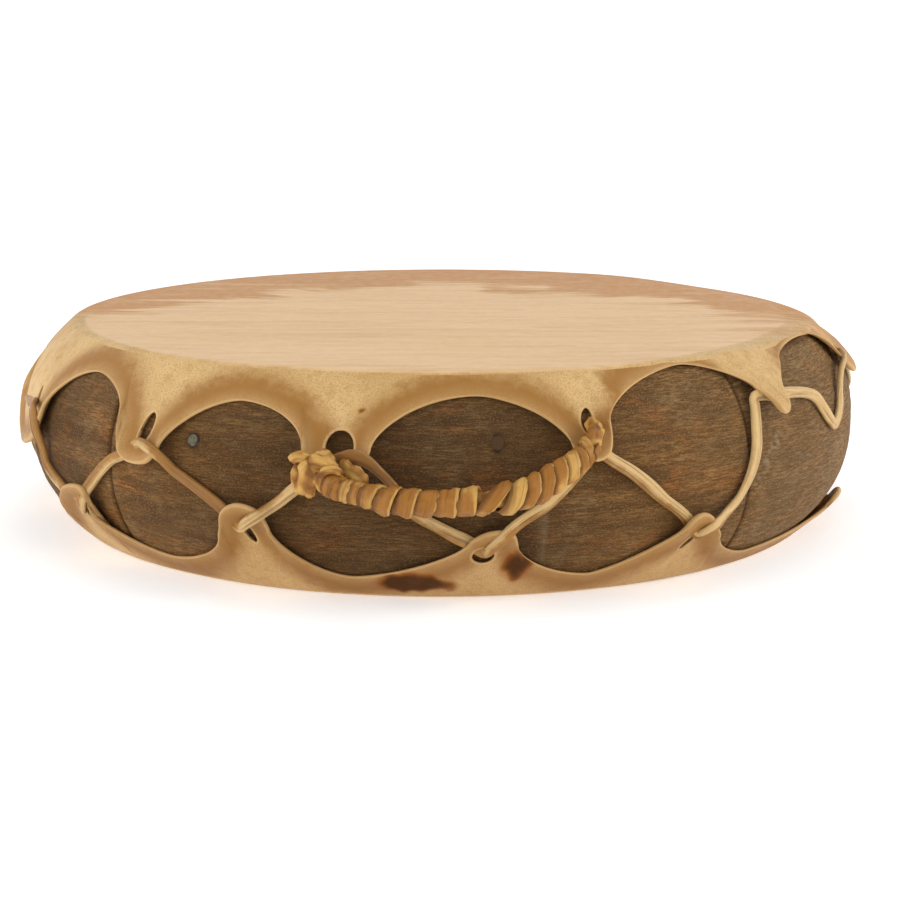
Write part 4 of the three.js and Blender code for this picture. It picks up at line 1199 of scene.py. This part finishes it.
def wrap_piece(material):
    line, total = spline(grip_line(GRIP_LINE), GRIP_STEP)
    measure = np.linspace(0, total, len(line))
    count = len(WRAP_PITCHES)
    phase = np.linspace(0, 2 * math.pi * count, count * WRAP_STEPS)
    turns = phase / (2 * math.pi)
    pitches = np.array(WRAP_PITCHES) * (total - WRAP_GAP) / sum(WRAP_PITCHES)
    reached = running(pitches)
    run = np.interp(turns, np.arange(count + 1), reached)
    run = run + WRAP_GAP * smooth(turns, WRAP_LEFT_TURNS - 0.35, WRAP_LEFT_TURNS + 0.35)
    share = run / total
    pitch = np.interp(turns, np.arange(count) + 0.5, pitches)
    run = np.clip(run + 0.7 * along(turns, 1.3, 3), 0, total)
    centre = resampled(run, measure, line)
    tangent, outward, upward = (unit(resampled(run, measure, f)) for f in upright_frames(line))
    ray = outward * np.cos(phase)[:, None] + upward * np.sin(phase)[:, None]

    # the strip's section: tucked under at the left, round and standing proud at the right
    a = full_turn(WRAP_SECTION)[None, :]
    right_half = smooth(share, 0.5, 0.62)[:, None]
    strip = (WRAP_OVERLAP * pitch * (1 + 0.1 * along(turns, 0.9, 5)))[:, None]
    u = np.sign(np.cos(a)) * np.abs(np.cos(a)) ** 0.8
    v = np.sin(a)
    thick = WRAP_THICK * (1 + 0.25 * along(turns, 0.5, 6)[:, None]) * blend(0.7, 1.2, smooth(u, -1, 0.6))
    crown = looked_up(share, WRAP_CROWNS) + 0.55 * along(turns, 0.8, 9)
    peak = blend(0.85, 0.3, right_half)
    lean = smooth(u, -1.1, peak) - blend(0.1, 0.5, right_half) * smooth(u, peak, 1.2)
    radius = blend(WRAP_FOOT + WRAP_THICK / 2, crown[:, None] - WRAP_THICK / 2, lean)
    crease = -0.15 + 0.4 * along(turns, 0.7, 19)[:, None]
    fold = 0.5 * hump(u - crease, 0.12) * (v > 0)
    crumple = 0.4 * along(phase * 3, 1.4, 15)[:, None] + 0.42 * along(phase[:, None] * 4 + 9 * u, 1.1, 16)
    radius = radius + v * thick / 2 - fold * (1 - right_half) + crumple * (v > 0)
    skew = blend(-0.1, 0.34, right_half[:, 0]) * (1 + 0.5 * along(turns, 0.9, 23)) * np.sin(phase)
    slide = u * strip / 2 + skew[:, None] * radius
    points = (
        centre[:, None, :] + slide[:, :, None] * tangent[:, None, :] + radius[:, :, None] * ray[:, None, :]
    )
    faces = tube_faces(len(phase), WRAP_SECTION)

    # Painted light: the raised right edge of each turn painted paler as a highlight, the tucked-under left
    # part and the inner face painted darker as shade
    outer = (v > -0.2) + 0 * slide
    edge = smooth(u, 0.62, 0.95) * outer
    pale_and_painted_light = 0.25 + 1.0 * edge + 0.75 * along(turns, 0.7, 17)[:, None]
    painted_shade_and_dark = smooth(u, -0.1, -0.8) + 0.35 * (v < -0.3)
    attributes = strip_attributes(run * 8, slide, radius, pale_and_painted_light + 0 * slide, painted_shade_and_dark + 0 * slide)
    add_piece("grip_wrap", points.reshape(-1, 3), faces, material, ["grip_wrap"], attributes)


def rod_piece(name, places, width, thick, material, nodes, seed):
    """A rolled strip along a list of azimuths, levels and distances off the wood."""
    line, total = spline(grip_line(places), ROD_STEP)
    run = np.linspace(0, total, len(line))
    tangents = tangents_of(line, False)
    normals = carried_normals(line, tangents)
    ends = smooth(run, -0.4, width * 0.35) * smooth(total - run, -0.4, width * 0.35)
    swell = (0.35 + 0.65 * np.sqrt(ends))[:, None] * (1 + 0.1 * along(run, 7, seed))[:, None]
    groove_place = (0.3 * along(run, 12, seed + 1))[:, None]
    across, outward = rolled_section(THONG_SIDES, width * swell, thick * swell, 0.5 * swell, groove_place)
    side = across / (width / 2)
    # Painted light: one side of the outer face paler as a painted highlight, and painted shade in the groove
    pale_and_painted_light = 0.45 + 0.35 * side * (outward > 0) + 0.3 * along(run, 9, seed + 2)[:, None]
    painted_shade_and_dark = 0.7 * hump(side - groove_place, 0.2) * (outward > 0)
    points, faces = sweep(line, normals, across, outward, False)
    middle = np.repeat(line, across.shape[1], axis=0)
    folds = noise(points, 3.2, seed + 3)
    lumps = 1 + 0.18 * folds + 0.13 * noise(points, 1.4, seed + 4)
    points = middle + (points - middle) * lumps[:, None]
    # Painted highlight on the bulges of the folds and painted shade in their dents
    pale_and_painted_light = pale_and_painted_light + 0.7 * folds.reshape(across.shape)
    painted_shade_and_dark = painted_shade_and_dark + 0.7 * smooth(-folds, 0.15, 0.6).reshape(across.shape)
    attributes = strip_attributes(run, across, outward, pale_and_painted_light, painted_shade_and_dark)
    add_piece(name, points, faces, material, nodes, attributes)


# Strips of the knot: places, width and thickness
KNOT_STRIPS = {
    "knot_band": ([[-12, 19.4, 10], [-12.3, 18.4, 15.5], [-13.2, 15, 18.8], [-13.9, 10.6, 19.6],
                   [-14.4, 6.4, 18], [-14.6, 3.4, 13.5]], 11, 5.4),
    "knot_turn": ([[-14.4, 17.6, 15.4], [-15, 14.9, 17.6], [-15.1, 11.2, 18.4], [-14.9, 7.4, 17.4]],
                  5.4, 4.2),
    "knot_fold": ([[-11.5, 14.6, 17], [-11.8, 17.6, 19.8], [-12.8, 18.8, 20.8], [-13.9, 18.4, 19.6]],
                  7.6, 4.4),
    "knot_end": ([[-13.6, 18.6, 17.5], [-14.5, 20.4, 19.6], [-15.2, 20.2, 19.8], [-15.7, 18.2, 18.6]],
                 5.4, 4.4),
    "knot_hook": ([[-10.1, 13.8, 19.4], [-10.6, 15.8, 20.8], [-11.5, 16, 21.6], [-12.2, 13.8, 21.8],
                   [-12.5, 10.5, 21.2], [-12.1, 7.2, 20.2], [-11.4, 5.4, 18.4]], 4.2, 2.6),
    "knot_tail": ([[-11, 16, 9], [-10, 14.8, 13], [-9.1, 13.4, 15], [-8.4, 11, 15.6], [-7.8, 8.4, 15]],
                  8, 2.8),
}


def grip_pieces(material):
    places = [KNOT_PLACE, *GRIP_LINE, *GRIP_INTO_TAB]
    rod_piece("grip_core", places, 2 * CORE_RADIUS, 2 * CORE_RADIUS, material, ["grip_core"], 3)
    for seed, (name, (places, width, thick)) in enumerate(KNOT_STRIPS.items()):
        rod_piece(name, places, width, thick, material, (), 20 + 3 * seed)


# Nails

# Each nail's azimuth, level, radius and how narrow it is
NAILS = {"nail_left": (-30.9, 19.3, 3.3, 1.0), "nail_right": (6.7, 23.8, 4.0, 0.66)}
# Rings of a nail head from its shank out: share of the radius, and height off the wood
NAIL_RINGS = (
    (0, -4), (0.45, -4), (0.45, -0.8), (1.0, -0.6), (1.05, 0.15), (0.9, 0.5), (0.7, 0.62), (0.4, 0.7),
    (0, 0.72),
)
NAIL_SIDES = 40
# How far each nail's colour has turned from iron to a brown plug
NAIL_WORN = {"nail_left": 0.0, "nail_right": 0.97}


def nail_piece(name, place, material):
    az, level, radius, narrow = place
    rings = np.array(NAIL_RINGS)
    a = full_turn(NAIL_SIDES)
    wobble = 1 + 0.04 * np.sin(3 * a + az) + 0.02 * np.sin(7 * a)
    centre = off_wood(az, level, 0.0)
    slope = (wood_radius(level + 1) - wood_radius(level - 1)) / 2
    r = math.radians(az)
    out = unit(np.array([math.sin(r), -math.cos(r), -slope]))
    side = np.array([math.cos(r), math.sin(r), 0])
    up = np.cross(side, -out)
    points = [centre + rings[0, 1] * out]
    for share, height in rings[1:-1]:
        ring = share * radius * wobble
        dent = 0.15 * np.sin(2 * a + level) * (height > 0)
        for k in range(NAIL_SIDES):
            flat = ring[k] * (narrow * math.cos(a[k]) * side + math.sin(a[k]) * up)
            points.append(centre + flat + (height + dent[k]) * out)
    points.append(centre + rings[-1, 1] * out)
    points = np.array(points)
    faces = (grid_quads(len(rings) - 2, NAIL_SIDES).reshape(-1, 4) + 1).tolist()
    last = len(points) - 1
    for k in range(NAIL_SIDES):
        j = (k + 1) % NAIL_SIDES
        faces.append([0, 1 + j, 1 + k])
        faces.append([last, last - NAIL_SIDES + k, last - NAIL_SIDES + j])
    reach = np.linalg.norm(points - centre, axis=1) / radius
    # painted shade: the head darkens towards its rim, where it curves down to meet the wood
    painted_shade_and_dark = smooth(reach, 0.72, 1.0)
    worn = np.full(len(points), NAIL_WORN[name])
    add_piece(name, points, faces, material, [name], {"painted_shade_and_dark": painted_shade_and_dark, "worn": worn})


# Stage

# The camera's place and aim in millimetres; the sweep and the lights in metres
CAMERA_PLACE = (4.5, -1080.6, 254.8)
CAMERA_AIM = (4.5, 0.0, 28.2)
CAMERA_LENS = 78.37
SWEEP_FLAT = 2.6
SWEEP_ROUND = 1.2
SWEEP_TOP = 3.2
SWEEP_SIDES = 64
SWEEP_STEPS = 8
LIGHT_AIM = (0, 0, 0.06)
# Each light's place, its size and its power
LIGHTS = {
    "left_box": ((-1.35, -0.55, 0.65), 0.9, 8),
    "right_box": ((1.35, -0.45, 0.65), 0.9, 9),
    "top_box": ((0.1, 0.2, 1.7), 1.2, 5),
}
WORLD_STRENGTH = 0.36
FLOOR_GLOW = 0.35


def make_camera():
    data = bpy.data.cameras.new("camera")
    data.lens = CAMERA_LENS
    data.sensor_width = 36.0
    data.clip_end = 30.0
    camera = bpy.data.objects.new("camera", data)
    camera.location = Vector(CAMERA_PLACE) * MM
    aim = Vector(CAMERA_AIM) * MM - camera.location
    camera.rotation_euler = aim.to_track_quat("-Z", "Y").to_euler()
    bpy.context.scene.collection.objects.link(camera)
    bpy.context.scene.camera = camera


def make_light(name, place, size, power):
    data = bpy.data.lights.new(name, "AREA")
    data.shape = "RECTANGLE"
    data.size = data.size_y = size
    data.energy = power
    light = bpy.data.objects.new(name, data)
    light.location = place
    aim = Vector(LIGHT_AIM) - light.location
    light.rotation_euler = aim.to_track_quat("-Z", "Y").to_euler()
    bpy.context.scene.collection.objects.link(light)


def make_sweep():
    """A white floor that curves up into a wall all round."""
    profile = [(0, 0), (0.6, 0), (SWEEP_FLAT, 0)]
    for k in range(1, SWEEP_STEPS + 1):
        a = math.pi / 2 * k / SWEEP_STEPS
        profile.append((SWEEP_FLAT + SWEEP_ROUND * math.sin(a), SWEEP_ROUND * (1 - math.cos(a))))
    profile.append((SWEEP_FLAT + SWEEP_ROUND, SWEEP_TOP))
    a = full_turn(SWEEP_SIDES)
    rings = [np.stack([r * np.cos(a), r * np.sin(a), z + 0 * a], axis=-1) for r, z in profile[1:]]
    points = np.vstack([[[0, 0, 0]], *rings])
    faces = (grid_quads(len(rings), SWEEP_SIDES).reshape(-1, 4) + 1).tolist()
    faces += [[0, 1 + k, 1 + (k + 1) % SWEEP_SIDES] for k in range(SWEEP_SIDES)]
    mesh = bpy.data.meshes.new("floor")
    mesh.from_pydata(points.tolist(), [], faces)
    mesh.polygons.foreach_set("use_smooth", np.ones(len(mesh.polygons), bool))
    s = Shade("white_floor", 0.9)
    s.shader.inputs["Base Color"].default_value = (0.9, 0.9, 0.9, 1)
    s.shader.inputs["Emission Color"].default_value = (1, 1, 1, 1)
    s.shader.inputs["Emission Strength"].default_value = FLOOR_GLOW
    mesh.materials.append(s.material)
    floor = bpy.data.objects.new("floor", mesh)
    bpy.context.scene.collection.objects.link(floor)


def make_stage():
    scene = bpy.context.scene
    scene.view_settings.view_transform = "Standard"
    scene.view_settings.look = "None"
    world = bpy.data.worlds.new("soft_white")
    scene.world = world
    world.use_nodes = True
    background = world.node_tree.nodes["Background"]
    background.inputs["Color"].default_value = (1, 1, 1, 1)
    background.inputs["Strength"].default_value = WORLD_STRENGTH
    for name, (place, size, power) in LIGHTS.items():
        make_light(name, place, size, power)
    make_sweep()


def main():
    make_camera()
    make_stage()
    wood = wood_grain()
    for name, span in SEGMENTS.items():
        shell_piece(name, span, wood)
    hide = thong_hide("thong_hide", (0.95, 0.93, 0.9))
    wound = thong_hide("wound_hide", (0.88, 0.74, 0.42))
    clean, darker = rawhide("rawhide_top", 0.0, 0.0), rawhide("rawhide_bottom", 3.7, 0.18)
    skin_piece("skin_top", TOP_TABS, TOP_ARCHES, 1, clean, "head_top", top_marks)
    skin_piece("skin_bottom", BOTTOM_TABS, BOTTOM_ARCHES, -1, darker, "head_bottom", bottom_marks)
    lacing_piece(hide)
    wrap_piece(wound)
    grip_pieces(wound)
    iron = rusted_iron()
    for name, place in NAILS.items():
        nail_piece(name, place, iron)


main()
